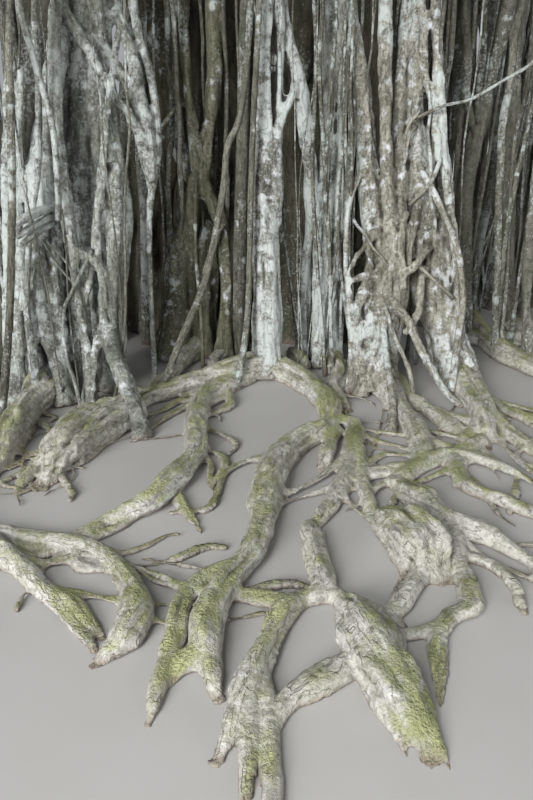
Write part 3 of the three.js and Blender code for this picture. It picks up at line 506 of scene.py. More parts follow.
frontRightRoots = limbsOf([
    [0.6, (1270, -1880, 120), (1290, -2120, 84), (1270, -2420, 74), (1170, -2800, 56)],
    [(1290, -2000, 60), (1420, -2290, 44), (1600, -2520, 36), (1800, -2650, 18)],
    [(1290, -2350, 60), (1360, -2700, 48), (1480, -2970, 40), (1560, -3250, 18)],
    [(1180, -2760, 50), (950, -2940, 36), (780, -3060, 32), (620, -3260, 26)],
    [(950, -2930, 36), (960, -3260, 34), (1080, -3390, 34), (1230, -3560, 30), (1330, -3760, 14)],
    [(640, -3230, 40), (700, -3440, 66), (800, -3610, 54), (940, -3720, 42), (1100, -3990, 16)],
    [(700, -3440, 50), (770, -3650, 44), (760, -3880, 36), (750, -4080, 36), (740, -4160, 36),
     (650, -4210, 32), (580, -4310, 34), (550, -4450, 32), (525, -4590, 12)],
    [0.62, (760, -1930, 90), (800, -2360, 64), (830, -2650, 58), (800, -2950, 44), (720, -3130, 30)],
    [(800, -1960, 60), (890, -2150, 44), (1000, -2420, 36), (1080, -2700, 30)],
])

# Smaller ones, over and between the main ones
fineFrontRoots = limbsOf([
    [(400, -2620, 40), (340, -2800, 36), (290, -3050, 30)],
    [(-200, -4380, 50), (-260, -4430, 40), (-310, -4500, 20)],
    [(-50, -4630, 30), (-50, -4770, 24), (-60, -4900, 12)],
    [0.8, (-30, -4450, 30), (4, -4640, 24), (12, -4770, 20), (16, -4900, 18), (10, -5040, 14)],
    [(480, -2850, 40), (460, -3190, 36), (470, -3480, 34), (500, -3640, 30)],
    [(-440, -3310, 30), (-340, -3520, 28), (-280, -3630, 20)],
    [(-1140, -2750, 45), (-1150, -3030, 40), (-1190, -3270, 20)],
    [(-1280, -3310, 30), (-1140, -3360, 30), (-990, -3420, 20)],
    [(-850, -4010, 26), (-690, -4150, 24), (-570, -4290, 14)],
    [(-1010, -3900, 18), (-930, -4060, 16), (-860, -4190, 10)],
    [0.4, (-780, -2370, 100), (-950, -2660, 130), (-1050, -3000, 110), (-1080, -3250, 50)],
    [1.1, (610, -3270, 30), (770, -3060, 32), (950, -2940, 32), (1130, -3030, 30), (1300, -3240, 20)],
    [(820, -2370, 50), (840, -2660, 50), (820, -2910, 40)],
    [(870, -1800, 55), (880, -2000, 50), (880, -2290, 40)],
    [0.9, (1720, -300, 90), (1700, -860, 80), (1730, -1330, 75), (1840, -1660, 70), (2000, -2000, 30)],
    [(380, -4280, 28), (480, -4290, 26), (600, -4240, 24), (720, -4160, 14)],
    [0.9, (360, -4200, 50), (400, -4420, 50), (440, -4600, 36), (500, -4800, 14)],
    [0.9, (320, -4220, 45), (330, -4440, 40), (360, -4620, 30), (390, -4760, 12)],
    [0.8, (-500, -1200, 90), (-620, -1500, 60), (-660, -1800, 50), (-800, -2050, 30)],
    [0.8, (-300, -1300, 70), (-360, -1550, 50), (-300, -1800, 40)],
    [0.9, (200, -1350, 60), (260, -1600, 45), (200, -1850, 40), (300, -2100, 30)],
    [0.8, (450, -1500, 80), (500, -1750, 55), (440, -2000, 45), (500, -2300, 30)],
])

# Thin roots on the front, drawn finer than the solids
frontStrands = {
    "branches crossing the left trunk": limbsOf([
        [(-1170, -1700, 2260, 34), (-1000, -1800, 2000, 30), (-850, -1850, 1740, 28),
         (-760, -1820, 1600, 34), (-720, -1770, 1420, 40), (-700, -1740, 1250, 30)],
        [(-1020, -1600, 2150, 40), (-920, -1650, 1960, 38), (-810, -1700, 1830, 36), (-740, -1730, 1680, 42),
         (-700, -1740, 1500, 36)],
        [(-980, -1350, 3100, 50), (-1100, -1550, 2700, 42), (-1170, -1700, 2260, 34)],
        [(-980, -1350, 3100, 50), (-1040, -1500, 2500, 42), (-1020, -1600, 2150, 40)],
    ]),
    "strands on the left trunk": limbsOf([
        [(-1050, -1500, 3300, 20), (-1250, -2000, 2500, 18), (-1270, -2100, 2210, 18),
         (-1220, -2100, 1890, 18), (-1170, -2100, 1630, 16), (-1170, -2100, 1380, 16),
         (-1200, -2080, 1100, 14)],
        [(-1000, -1450, 3400, 18), (-1230, -1950, 2230, 18), (-1250, -2000, 1810, 17),
         (-1290, -2050, 1370, 17), (-1360, -2100, 1050, 16), (-1410, -2150, 650, 16),
         (-1410, -2200, 230, 15), (-1440, -2260, 0, 20)],
        [(-1450, -2220, 1080, 20), (-1360, -2170, 1120, 28), (-1300, -2060, 1150, 28),
         (-1220, -1900, 1160, 20)],
        [(-1420, -2170, 1020, 16), (-1340, -2120, 1070, 22), (-1260, -2000, 1110, 18)],
        [(-1410, -2140, 970, 14), (-1330, -2090, 1030, 20), (-1250, -1960, 1070, 16)],
        [(-1020, -2060, 930, 10), (-1053, -2096, 869, 10), (-1141, -2129, 705, 10), (-1196, -2150, 602, 10),
         (-1213, -2177, 465, 10), (-1196, -2212, 291, 10), (-1152, -2250, 160, 11), (-1120, -2300, 0, 13)],
        [(-1300, -2020, 990, 8), (-1268, -2059, 956, 8), (-1196, -2073, 883, 8), (-1155, -2087, 815, 8),
         (-1140, -2100, 690, 8)],
        [(-1310, -2030, 960, 7), (-1276, -2067, 917, 7), (-1217, -2085, 826, 7), (-1140, -2100, 735, 7)],
    ]),
    "bundle of the left trunk": limbsOf([
        [(-1420, -1950, 1900, 20), (-1451, -2000, 1635, 24), (-1488, -2000, 1370, 26),
         (-1531, -2000, 1039, 28), (-1547, -2042, 788, 26), (-1569, -2094, 531, 26), (-1567, -2128, 359, 28),
         (-1551, -2155, 227, 30), (-1589, -2200, 0, 34)],
        [(-1360, -1920, 1900, 20), (-1402, -1970, 1583, 26), (-1431, -1980, 1370, 30),
         (-1481, -1980, 1039, 32), (-1489, -2020, 874, 30), (-1500, -2070, 619, 28), (-1503, -2110, 401, 30),
         (-1530, -2146, 200, 34), (-1540, -2180, 0, 40)],
        [(-1380, -1960, 1150, 30), (-1439, -2041, 947, 30), (-1458, -2071, 794, 30), (-1446, -2097, 667, 30),
         (-1424, -2122, 539, 30), (-1411, -2156, 368, 28), (-1407, -2183, 237, 27), (-1421, -2230, 0, 32)],
        [(-1340, -1930, 1150, 50), (-1357, -1980, 1001, 56), (-1363, -1999, 905, 56),
         (-1375, -2040, 702, 55), (-1358, -2075, 526, 50), (-1317, -2109, 353, 45), (-1270, -2146, 150, 45),
         (-1240, -2190, 0, 60)],
        [(-1230, -1880, 1300, 45), (-1248, -1930, 1112, 50), (-1262, -1950, 950, 46),
         (-1274, -1985, 776, 45), (-1277, -2019, 605, 45), (-1275, -2054, 432, 46), (-1260, -2090, 250, 45),
         (-1230, -2140, 0, 60)],
        [(-1162, -2000, 1532, 34), (-1168, -2030, 1373, 36), (-1169, -2040, 1214, 38),
         (-1159, -2040, 1062, 38), (-1138, -2057, 915, 36), (-1132, -2081, 796, 32), (-1121, -2106, 669, 28),
         (-1104, -2132, 542, 24), (-1084, -2166, 371, 20), (-1085, -2201, 194, 18), (-1085, -2240, 0, 20)],
        [(-1180, -2030, 1000, 30), (-1134, -2063, 933, 30), (-1049, -2072, 888, 30), (-980, -2082, 840, 30),
         (-965, -2100, 749, 28), (-972, -2124, 631, 27), (-978, -2149, 503, 25), (-1019, -2175, 374, 22),
         (-1046, -2210, 198, 18), (-1070, -2250, 0, 20)],
        [(-900, -1870, 1400, 40), (-893, -1960, 1100, 46), (-899, -1990, 976, 45), (-916, -2030, 788, 42),
         (-921, -2060, 660, 38), (-935, -2090, 531, 38), (-925, -2128, 359, 42), (-866, -2170, 200, 38),
         (-808, -2220, 80, 34), (-770, -2270, 10, 30)],
        [(-1000, -2020, 920, 20), (-1022, -2049, 855, 20), (-1050, -2070, 752, 19), (-1080, -2093, 636, 18),
         (-1100, -2120, 500, 18)],
        [(-800, -1900, 2100, 20), (-843, -1920, 1935, 22), (-897, -1930, 1687, 24), (-942, -1940, 1425, 26),
         (-979, -1960, 1207, 28), (-1003, -2000, 1008, 30), (-1000, -2060, 850, 26)],
    ]),
    "strands by the middle stem": limbsOf([
        [(0, -1300, 3600, 20), (-40, -1600, 2280, 18), (-60, -1620, 1960, 18), (-80, -1650, 1630, 18),
         (-100, -1680, 1170, 18), (-110, -1720, 800, 18), (-130, -1800, 400, 20), (-190, -1950, 20, 22)],
        [(100, -1300, 3600, 14), (280, -1500, 2290, 13), (300, -1500, 1860, 12), (290, -1520, 1400, 12),
         (320, -1550, 900, 12), (380, -1620, 310, 13), (400, -1680, 0, 16)],
        [(200, -1200, 3600, 16), (330, -1480, 2290, 14), (320, -1500, 1970, 14), (360, -1520, 1460, 14),
         (410, -1550, 900, 13), (440, -1660, 220, 13), (450, -1720, 0, 16)],
        [(400, -1200, 3600, 20), (500, -1550, 2280, 18), (490, -1560, 1970, 18), (520, -1580, 1580, 18),
         (510, -1600, 1160, 17), (520, -1660, 730, 17), (560, -1750, 350, 18), (600, -1840, 0, 22)],
        [(500, -1420, 1400, 10), (470, -1520, 950, 10), (520, -1620, 520, 10), (580, -1700, 180, 10),
         (600, -1760, 0, 12)],
    ]),
    "stems in the recess": limbsOf([
        [(-500, -750, 3300, 50), (-541, -1050, 2330, 35), (-529, -1130, 2050, 32), (-514, -1190, 1785, 30),
         (-486, -1200, 1508, 30), (-456, -1200, 1250, 42), (-440, -1200, 1130, 40)],
        [(-280, -800, 3300, 70), (-334, -1000, 2371, 55), (-341, -1080, 1995, 55), (-368, -1140, 1694, 50),
         (-407, -1180, 1445, 45), (-456, -1200, 1200, 45)],
        [(-456, -1180, 1263, 50), (-400, -1200, 1140, 50), (-345, -1200, 1050, 50), (-309, -1220, 900, 45),
         (-290, -1250, 700, 42), (-286, -1300, 500, 45), (-300, -1350, 200, 50), (-320, -1380, 0, 70)],
        [(-470, -1200, 1250, 50), (-520, -1170, 1120, 50), (-560, -1150, 950, 65), (-600, -1180, 750, 85),
         (-630, -1220, 500, 105), (-660, -1260, 250, 110), (-690, -1300, 0, 140)],
        [(-430, -1040, 960, 30), (-430, -1080, 800, 80), (-440, -1120, 550, 95), (-460, -1150, 300, 100),
         (-460, -1200, 0, 120)],
        [(-640, -800, 1950, 60), (-640, -950, 1620, 58), (-590, -1050, 1400, 60), (-510, -1130, 1240, 50)],
    ]),
    "thin roots in the recess": limbsOf([
        [(-720, -1400, 1460, 11), (-700, -1330, 1560, 13), (-646, -1250, 1645, 14), (-600, -1220, 1700, 16),
         (-520, -1170, 1740, 20)],
        [(-475, -1220, 1350, 16), (-480, -1270, 1200, 14), (-488, -1300, 1030, 13), (-487, -1350, 734, 12),
         (-460, -1420, 400, 13), (-450, -1500, 0, 16)],
        [(-450, -1320, 620, 12), (-400, -1340, 750, 13), (-360, -1330, 860, 14), (-300, -1280, 960, 14)],
    ]),
    "roots fused to the right trunk": limbsOf([
        [(920, -1300, 3000, 30), (925, -1450, 2290, 26), (939, -1500, 2157, 25), (938, -1530, 2017, 25),
         (946, -1550, 1908, 25), (987, -1574, 1802, 25), (1010, -1600, 1735, 24), (1030, -1660, 1550, 24),
         (1050, -1700, 1400, 22)],
        [(1040, -1450, 2100, 24), (1060, -1520, 1793, 26), (1075, -1550, 1679, 27), (1090, -1580, 1560, 29),
         (1105, -1620, 1428, 30), (1125, -1660, 1289, 31), (1145, -1710, 1151, 32), (1155, -1750, 1042, 30),
         (1165, -1790, 930, 26)],
        [(800, -1860, 740, 28), (864, -1910, 773, 24), (913, -1910, 805, 23), (949, -1880, 848, 24),
         (985, -1840, 883, 26), (1030, -1770, 900, 30)],
        [(680, -1780, 990, 30), (630, -1830, 962, 34), (618, -1850, 925, 24), (579, -1860, 883, 21),
         (527, -1870, 800, 20), (503, -1880, 725, 19), (513, -1900, 640, 20), (530, -1930, 400, 20),
         (540, -1960, 150, 21), (545, -2000, 0, 30)],
        [(500, -1880, 670, 16), (540, -1900, 715, 19), (600, -1900, 740, 22), (660, -1860, 760, 26)],
        [(660, -1840, 780, 34), (616, -1880, 692, 28), (592, -1910, 620, 26), (570, -1920, 543, 26),
         (565, -1940, 400, 28), (580, -1980, 200, 30), (600, -2050, 0, 40)],
        [(1000, -1830, 790, 26), (964, -1890, 686, 24), (953, -1920, 597, 23), (945, -1940, 506, 22),
         (916, -1950, 445, 20), (880, -1930, 380, 20)],
        [(860, -1800, 1120, 20), (828, -1840, 977, 26), (820, -1860, 890, 28), (840, -1890, 787, 26),
         (850, -1910, 660, 24)],
        [(980, -1700, 1250, 30), (925, -1750, 1120, 30), (900, -1790, 990, 26), (890, -1810, 870, 22),
         (900, -1820, 760, 20)],
        [(760, -1660, 1200, 40), (770, -1790, 1020, 45), (765, -1870, 850, 46), (740, -1920, 700, 42),
         (720, -1950, 550, 36)],
    ]),
    "roots on the right trunk": limbsOf([
        [(920, -1860, 820, 12), (1040, -1940, 710, 11), (1170, -1900, 600, 12)],
        [(860, -1500, 1500, 18), (980, -1720, 1300, 20), (1080, -1820, 1100, 20), (1170, -1870, 900, 20),
         (1230, -1900, 590, 20), (1200, -1980, 300, 22), (1160, -2100, 50, 24)],
        [(930, -1600, 1690, 10), (918, -1630, 1668, 9), (879, -1640, 1634, 9), (850, -1650, 1572, 9),
         (845, -1650, 1504, 9), (850, -1660, 1400, 9)],
        [(920, -1600, 1600, 9), (895, -1640, 1578, 8), (868, -1660, 1544, 8), (853, -1680, 1447, 8),
         (840, -1700, 1380, 8)],
        [(900, -1520, 2050, 8), (912, -1548, 1962, 8), (950, -1580, 1877, 9), (974, -1610, 1791, 9),
         (983, -1650, 1679, 10), (973, -1680, 1561, 10), (989, -1710, 1448, 10), (999, -1740, 1339, 10),
         (998, -1780, 1202, 10), (1026, -1830, 1066, 10), (1030, -1860, 950, 9)],
        [(1060, -1700, 1420, 12), (1032, -1740, 1359, 12), (1000, -1760, 1288, 12), (958, -1770, 1231, 11),
         (909, -1770, 1186, 10), (880, -1760, 1150, 10)],
        [(629, -1850, 952, 14), (623, -1890, 885, 13), (633, -1910, 831, 12), (650, -1900, 790, 12)],
        [(540, -1760, 1060, 9), (559, -1810, 1031, 9), (608, -1860, 976, 9), (648, -1890, 911, 9),
         (685, -1910, 876, 8), (723, -1930, 833, 8), (750, -1920, 800, 8)],
        [(600, -1600, 1350, 16), (540, -1680, 1230, 16), (505, -1740, 1120, 15), (495, -1790, 970, 15),
         (492, -1820, 877, 15), (497, -1860, 740, 15)],
        [(730, -1950, 600, 13), (745, -1990, 530, 13), (785, -2020, 410, 13), (838, -2050, 300, 13),
         (885, -2080, 200, 13), (905, -2130, 100, 13), (915, -2200, 0, 12)],
    ]),
    "the long thin runner on the right": limbsOf([
        [(900, -1620, 1640, 9), (1040, -1700, 1710, 9), (1230, -1600, 1750, 9), (1450, -1500, 1860, 9),
         (1650, -1400, 1970, 9), (1900, -900, 2300, 9)],
    ]),
}

pillarForm = {"bow": 0.32, "at": (0, 0.13, 0.35, 0.6, 0.82, 1), "thick": (1.7, 1.2, 1.05, 0.95, 0.95, 1.05),
              "flutes": 3, "depth": 0.16}


# A pillar from its foot to its head, as the solids' pillars are: foot + (head - foot) * t^2 (3 - 2t)
# plus a seeded bow * sin(pi t)
def pillar(foot, head, thick, seed):
    draw = seeded(seed)
    bow = np.array([next(draw) - 0.5, next(draw) - 0.5]) * pillarForm["bow"]
    phase = next(draw) * 6
    route = []
    for t in pillarForm["at"]:
        lean, sway = t * t * (3 - 2 * t), math.sin(math.pi * t)
        x, y = np.array(foot) + (np.array(head[:2]) - np.array(foot)) * lean + bow * sway
        route.append((x, y, head[2] * t))
    return {"route": route, "thick": [thick * k for k in pillarForm["thick"]],
            "spread": lambda angle, t: 1 + pillarForm["depth"] * np.cos(-pillarForm["flutes"] * angle + phase
                                                                        + 2.5 * t)}


def compass(degrees):
    return np.array([math.cos(math.radians(degrees)), math.sin(math.radians(degrees))])


# Boughs: from the trunk's head outwards, each to the leaf mass that it carries. The first points lie
# at set distances from the axis, the last ones at shares of the mass's own distance
def lowBough(i):
    draw = seeded(20 + i)
    degrees = tree["forkDirections"][i]
    way = compass(degrees)
    tipWay = compass(degrees + 6 * (next(draw) - 0.5))
    reach = tree["crownRadius"] * (0.97 + 0.1 * next(draw))
    height = tree["crownHeight"] + 0.5 * (next(draw) - 0.5)
    start = tree["forkHeight"] - 0.65 + (i % 2) * 0.42
    route = [(*way * 0.48, start - 0.33), (*way * 1.25, start + 0.33), (*way * 2.3, start + 0.95),
             (*tipWay * reach * 0.55, tree["forkHeight"] + 1.15), (*tipWay * reach * 0.77, height - 0.95)]
    return {"route": route, "thick": [0.33, 0.3, 0.245, 0.19, 0.13], "middle": (*tipWay * reach, height)}


def highBough(i):
    draw = seeded(60 + i)
    way = compass(tree["upperDirections"][i] + 10 * (next(draw) - 0.5))
    reach = tree["upperRadius"] * (0.97 + 0.08 * next(draw))
    height = tree["upperHeight"] + 0.5 * (next(draw) - 0.5)
    fork = tree["forkHeight"]
    route = [(*way * 0.33, fork - 0.15), (*way * 0.62, fork + 1.15), (*way * reach * 0.48, fork + 2.55),
             (*way * reach * 0.72, height - 1.25)]
    return {"route": route, "thick": [0.21, 0.18, 0.15, 0.11], "middle": (*way * reach, height)}


lowBoughs = [lowBough(i) for i in range(8)]
highBoughs = [highBough(i) for i in range(5)]
leader = {"route": [(0, 0, 4.5), (0.04, 0.06, 6.5), (-0.06, 0.02, 8.6), (0, 0, tree["topHeight"] - 1.35)],
          "thick": [0.15, 0.14, 0.12, 0.095], "middle": (0, 0, tree["topHeight"])}

core = {
    "route": [(0, 0.06, 0), (0, 0.06, 0.5), (0.01, 0.07, 1.3), (0, 0.06, 2.3), (0, 0.03, 3.3), (0, 0, 4.15),
              (0, 0, 4.8)],
    "thick": [0.96, 0.8, 0.71, 0.69, 0.78, 0.84, 0.48],
    "spread": lambda angle, t: (1 + 0.13 * np.cos(-5 * angle + 1.2 + 2 * t)
                                + 0.06 * np.cos(-9 * angle - 3 * t)),
}
fusedStems = [
    pillar((0.76, -0.64), (0.62, -0.56, 4.1), 0.17, 13),
    pillar((1.08, -0.16), (0.7, -0.15, 4.15), 0.19, 15),
    pillar((-1.04, -0.42), (-0.64, -0.42, 4.1), 0.185, 17),
    pillar((-0.9, 0.48), (-0.62, 0.33, 4.1), 0.19, 19),
    pillar((0.56, 0.82), (0.4, 0.6, 4.1), 0.18, 21),
]
sidePillars = {
    "left_edge_stem": pillar((-1.8, -1.56), (-0.93, -1.19, 4.2), 0.12, 3),
    "left_side_stem": pillar((-1.95, -0.35), (-1.45, -0.06, 4.6), 0.17, 5),
    "back_left_stem": pillar((-1.35, 1.15), (-0.9, 1.06, 4.15), 0.19, 7),
    "back_stem": pillar((0.15, 1.65), (0.27, 1.26, 4.45), 0.17, 9),
    "back_right_stem": pillar((1.45, 0.95), (1.19, 0.62, 4.1), 0.18, 11),
}
propRoots = {
    "prop_root_right": {"bough": 3, "share": 0.62, "thick": 0.105, "seed": 31},
    "prop_root_back_right": {"bough": 4, "share": 0.8, "thick": 0.085, "seed": 35},
    "prop_root_back": {"bough": 5, "share": 0.6, "thick": 0.12, "seed": 37},
    "prop_root_back_left": {"bough": 6, "share": 0.85, "thick": 0.09, "seed": 41},
    "prop_root_left": {"bough": 7, "share": 0.66, "thick": 0.11, "seed": 43},
}


def propRoot(bough, share, thick, seed):
    draw = seeded(seed)
    route = lowBoughs[bough]["route"]
    head = curveAt(route, np.array([share * (len(route) - 1)]))[0]
    foot = (head[0] + (next(draw) - 0.5) * 0.5, head[1] + (next(draw) - 0.5) * 0.5)
    return pillar(foot, tuple(head), thick, seed + 1)


# A root on the ground: its crest stands crest * half width high, and its tip sinks into the ground
def groundLimb(root):
    crest = root["crest"]
    at, known = (np.linspace(0, 1, len(root[key])) for key in ("route", "thick"))
    half = np.interp(at, known, root["thick"])
    route = [(*point, width * crest) for point, width in zip(root["route"], half)]
    before, tip = np.array(root["route"][-2:])
    last = max(half[-1], 0.012)
    way = (tip - before) / np.linalg.norm(tip - before)
    route[-1] = (*(tip - way * min(2.2 * last, 0.4 * np.linalg.norm(tip - before))), last * crest * 0.8)
    route.append((*(tip + way * 0.4 * last), -1.1 * last))
    return {"route": route, "thick": [*half, half[-1] * 0.8], "flutes": 7}


windingForm = {"at": (0, 0.25, 0.5, 0.75, 1), "thick": (1, 0.8, 0.66, 0.48, 0.16), "atPillar": 1.1,
               "swing": 0.36, "waves": 4.2, "crest": 0.6}


# A winding root goes length * t along its heading, and swing * t * sin(turn + waves * t) aside
def windingRoot(draw, start, degrees, length, width, lead=()):
    way = compass(degrees)
    swing = (next(draw) - 0.5) * windingForm["swing"] * length
    turn = next(draw) * math.pi
    route = list(lead)
    for t in windingForm["at"]:
        aside = swing * math.sin(turn + windingForm["waves"] * t) * t
        route.append((start[0] + way[0] * length * t - way[1] * aside,
                      start[1] + way[1] * length * t + way[0] * aside))
    thick = [width * windingForm["atPillar"] for point in lead] + [width * k for k in windingForm["thick"]]
    return {"route": route, "thick": thick, "crest": windingForm["crest"]}


# Surface roots away from the front leave a hub outside a pillar. Each main one has its heading,
# length, half width, seed and number of forks, which turn off by 24 to 40 degrees to either side
def windingRoots(pillarFoot, hub, mains, link=()):
    roots = [{"route": list(link), "thick": [0.06, 0.06, 0.05], "crest": 0.7}] if link else []
    for heading, reach, wide, seed, forks in mains:
        draw = seeded(seed)
        main = windingRoot(draw, hub, heading, reach, wide, [pillarFoot])
        roots.append(main)
        for i in range(forks):
            angle = heading + (1 if i % 2 == 0 else -1) * (24 + 16 * next(draw))
            length, width = reach * (0.6 - 0.14 * i), wide * (0.62 - 0.1 * i)
            roots.append(windingRoot(draw, main["route"][i + 2], angle, length, width))
    return roots


otherRoots = {
    "right_roots": windingRoots((1.99, -0.62), (2.11, -0.76),
                                [(-14, 2.2, 0.09, 51, 1), (-56, 1.6, 0.074, 53, 1)],
                                link=[(1.53, -0.93), (1.8, -0.96), (2.11, -0.79)]),
    "back_right_roots": windingRoots((1.45, 0.95), (1.72, 1.18),
                                     [(16, 2.3, 0.125, 57, 2), (62, 2.2, 0.11, 59, 1)]),
    "back_roots": windingRoots((0.15, 1.65), (0.13, 1.99),
                               [(68, 2.3, 0.125, 61, 1), (114, 2.3, 0.105, 67, 1)]),
    "back_left_roots": windingRoots((-1.35, 1.15), (-1.6, 1.42),
                                    [(116, 2.3, 0.13, 71, 1), (160, 2.4, 0.105, 73, 1)]),
    "left_roots": windingRoots((-1.95, -0.35), (-2.29, -0.43),
                               [(172, 2.2, 0.12, 79, 2), (216, 2.1, 0.09, 83, 1)]),
}

# Roots that the rule adds on the ground: how long and thick they are, and how far they may turn
rootlets = {"length": (0.35, 1.1), "half": (0.012, 0.028), "turn": 30, "swing": 0.3,
            "upTo": 0.7, "front": -4.2}


# Each rootlet starts on a root's middle line, goes length * t along its heading, and
# swing * length * t * sin(turn + 7t) aside
def rootletsOn(roots, perRoot, seed):
    random = np.random.default_rng(seed)
    made = []
    for root in roots:
        points = np.array(root["route"])
        for i in range(perRoot):
            where = random.uniform(0, (len(points) - 1.01) * rootlets["upTo"])
            leg, part = int(where), where % 1
            start = points[leg] * (1 - part) + points[leg + 1] * part
            way = points[leg + 1] - points[leg]
            heading = math.degrees(math.atan2(way[1], way[0])) + random.uniform(-1, 1) * rootlets["turn"]
            length, half = random.uniform(*rootlets["length"]), random.uniform(*rootlets["half"])
            swing, turn = random.uniform(-1, 1) * rootlets["swing"], random.uniform(0, math.pi)
            forward, aside = compass(heading), compass(heading + 90)
            route = [tuple(start + forward * length * t
                           + aside * swing * length * t * math.sin(turn + 7 * t))
                     for t in np.linspace(0, 1, 7)]
            if route[-1][1] >= rootlets["front"]:
                thick = [half, half * 0.9, half * 0.8, half * 0.65, max(half * 0.4, 0.006)]
                made.append({"route": route, "thick": thick, "crest": random.uniform(0.8, 1.3)})
    return made


# Thin aerial roots hang in curtains. Each foot is drawn in its curtain's rectangle, the head is the
# nearest place on a low bough, and the root leans back by share + (1 - share) * s(t), where
# s(t) = u^2 (3 - 2u) and u runs from 0 to 1 over the upper half
curtains = [
    {"x": (-2.25, -1.5), "y": (-2.0, -1.35), "count": 30, "half": (0.005, 0.017)},  # left edge
    {"x": (-1.5, -0.8), "y": (-2.2, -2.05), "count": 4, "half": (0.004, 0.009)},  # before the left trunk
    {"x": (-0.72, -0.12), "y": (-1.15, -0.9), "count": 12, "half": (0.008, 0.022)},  # in the recess
    {"x": (0.1, 0.62), "y": (-1.62, -1.3), "count": 15, "half": (0.004, 0.013)},  # by the middle stem
    {"x": (0.6, 1.3), "y": (-1.5, -1.2), "count": 9, "half": (0.006, 0.016)},  # behind the right trunk
    {"x": (1.3, 2.9), "y": (-1.35, 0.5), "count": 46, "half": (0.006, 0.03)},  # right edge
    {"x": (1.2, 3.1), "y": (0.1, 1.5), "count": 18, "half": (0.03, 0.085)},  # thicker ones behind it
    {"x": (2.05, 2.65), "y": (0.5, 1.3), "count": 8, "half": (0.06, 0.12)},
    {"x": (-1.9, -0.9), "y": (-1.1, -0.5), "count": 9, "half": (0.02, 0.055)},  # behind the left trunk
    {"x": (-2.8, -1.9), "y": (-1.2, 0.8), "count": 30, "half": (0.006, 0.024)},  # left side
    {"x": (-1.8, 2.0), "y": (1.5, 2.3), "count": 34, "half": (0.006, 0.022)},  # back
]
hanging = {"share": 0.2, "reach": 1.5, "bow": 0.11, "wave": 0.045, "ripple": 0.016, "footFlare": 1.9,
           "seed": 5}


def hangingRoots():
    random = np.random.default_rng(hanging["seed"])
    boughPlaces = np.vstack([smoothPath(limb["route"], limb["thick"], 0.05)[0] for limb in lowBoughs])
    made = []
    for curtain in curtains:
        for i in range(curtain["count"]):
            foot = np.array([random.uniform(*curtain["x"]), random.uniform(*curtain["y"])])
            far = np.linalg.norm(boughPlaces[:, :2] - foot, axis=1) + 0.4 * np.abs(boughPlaces[:, 2] - 5.2)
            head = boughPlaces[np.argmin(far)]
            if far.min() > hanging["reach"]:
                continue
            t = np.linspace(0, 1, 34)
            upper = np.clip(2 * t - 1, 0, 1)
            lean = hanging["share"] * t + (1 - hanging["share"]) * upper * upper * (3 - 2 * upper)
            shift = random.uniform(0, 30, 2)
            wave = np.column_stack([hanging["wave"] * softNoise(t[:, None] * [5, 1, 1], 1, turn)
                                    + hanging["ripple"] * softNoise(t[:, None] * [19, 1, 1], 1, turn + 7)
                                    for turn in shift])
            bow = random.normal(0, hanging["bow"], 2) * np.sin(math.pi * t)[:, None]
            across = (foot + (head[:2] - foot) * lean[:, None] + bow
                      + wave * np.sin(math.pi * t)[:, None] ** 0.3)
            low, high = curtain["half"]
            thick = low + (high - low) * random.random() ** 2
            knots = 1 + 0.2 * softNoise(t[:, None] * [23, 1, 1], 1, shift[0])
            flare = 1 + (hanging["footFlare"] - 1) * np.exp(-t * 40)
            made.append((np.column_stack([across, head[2] * t]), thick * knots * flare))
    return made


# Materials. The inputs of a node take a link, or a value of their own
def feed(made, inputs):
    for key, value in inputs.items():
        if isinstance(value, bpy.types.NodeSocket):
            made.id_data.links.new(value, made.inputs[key])
        else:
            made.inputs[key].default_value = value
    return made


def node(tree_, kind, inputs=None, **settings):
    made = tree_.nodes.new("ShaderNode" + kind)
    for key, value in settings.items():
        setattr(made, key, value)
    return feed(made, inputs or {})


def maths(tree_, operation, *values):
    return node(tree_, "Math", dict(enumerate(values)), operation=operation).outputs[0]


def product(tree_, first, *others):
    for other in others:
        first = maths(tree_, "MULTIPLY", first, other)
    return first


def mixColour(tree_, share, first, second):
    colours = [colour if isinstance(colour, bpy.types.NodeSocket) else (*colour, 1)
               for colour in (first, second)]
    return node(tree_, "Mix", {0: share, 6: colours[0], 7: colours[1]}, data_type="RGBA").outputs[2]


def rampBetween(tree_, value, low, high):
    return node(tree_, "MapRange", {0: value, 1: low, 2: high}, interpolation_type="SMOOTHSTEP").outputs[0]


def noise(tree_, vector, scale, detail=2.0, roughness=0.5, distortion=0.0):
    return node(tree_, "TexNoise", {"Vector": vector, "Scale": scale, "Detail": detail,
                                    "Roughness": roughness, "Distortion": distortion}).outputs[0]


# A new node group of number outputs, with what is given to it and the node that takes its results
def newGroup(name, outputs, **inputs):
    group = bpy.data.node_groups.new(name, "ShaderNodeTree")
    for label, value in inputs.items():
        kind = "NodeSocketFloat" if isinstance(value, float) else "NodeSocketVector"
        group.interface.new_socket(label, in_out="INPUT", socket_type=kind).default_value = value
    for label in outputs:
        group.interface.new_socket(label, in_out="OUTPUT", socket_type="NodeSocketFloat")
    return group, group.nodes.new("NodeGroupInput").outputs, group.nodes.new("NodeGroupOutput")


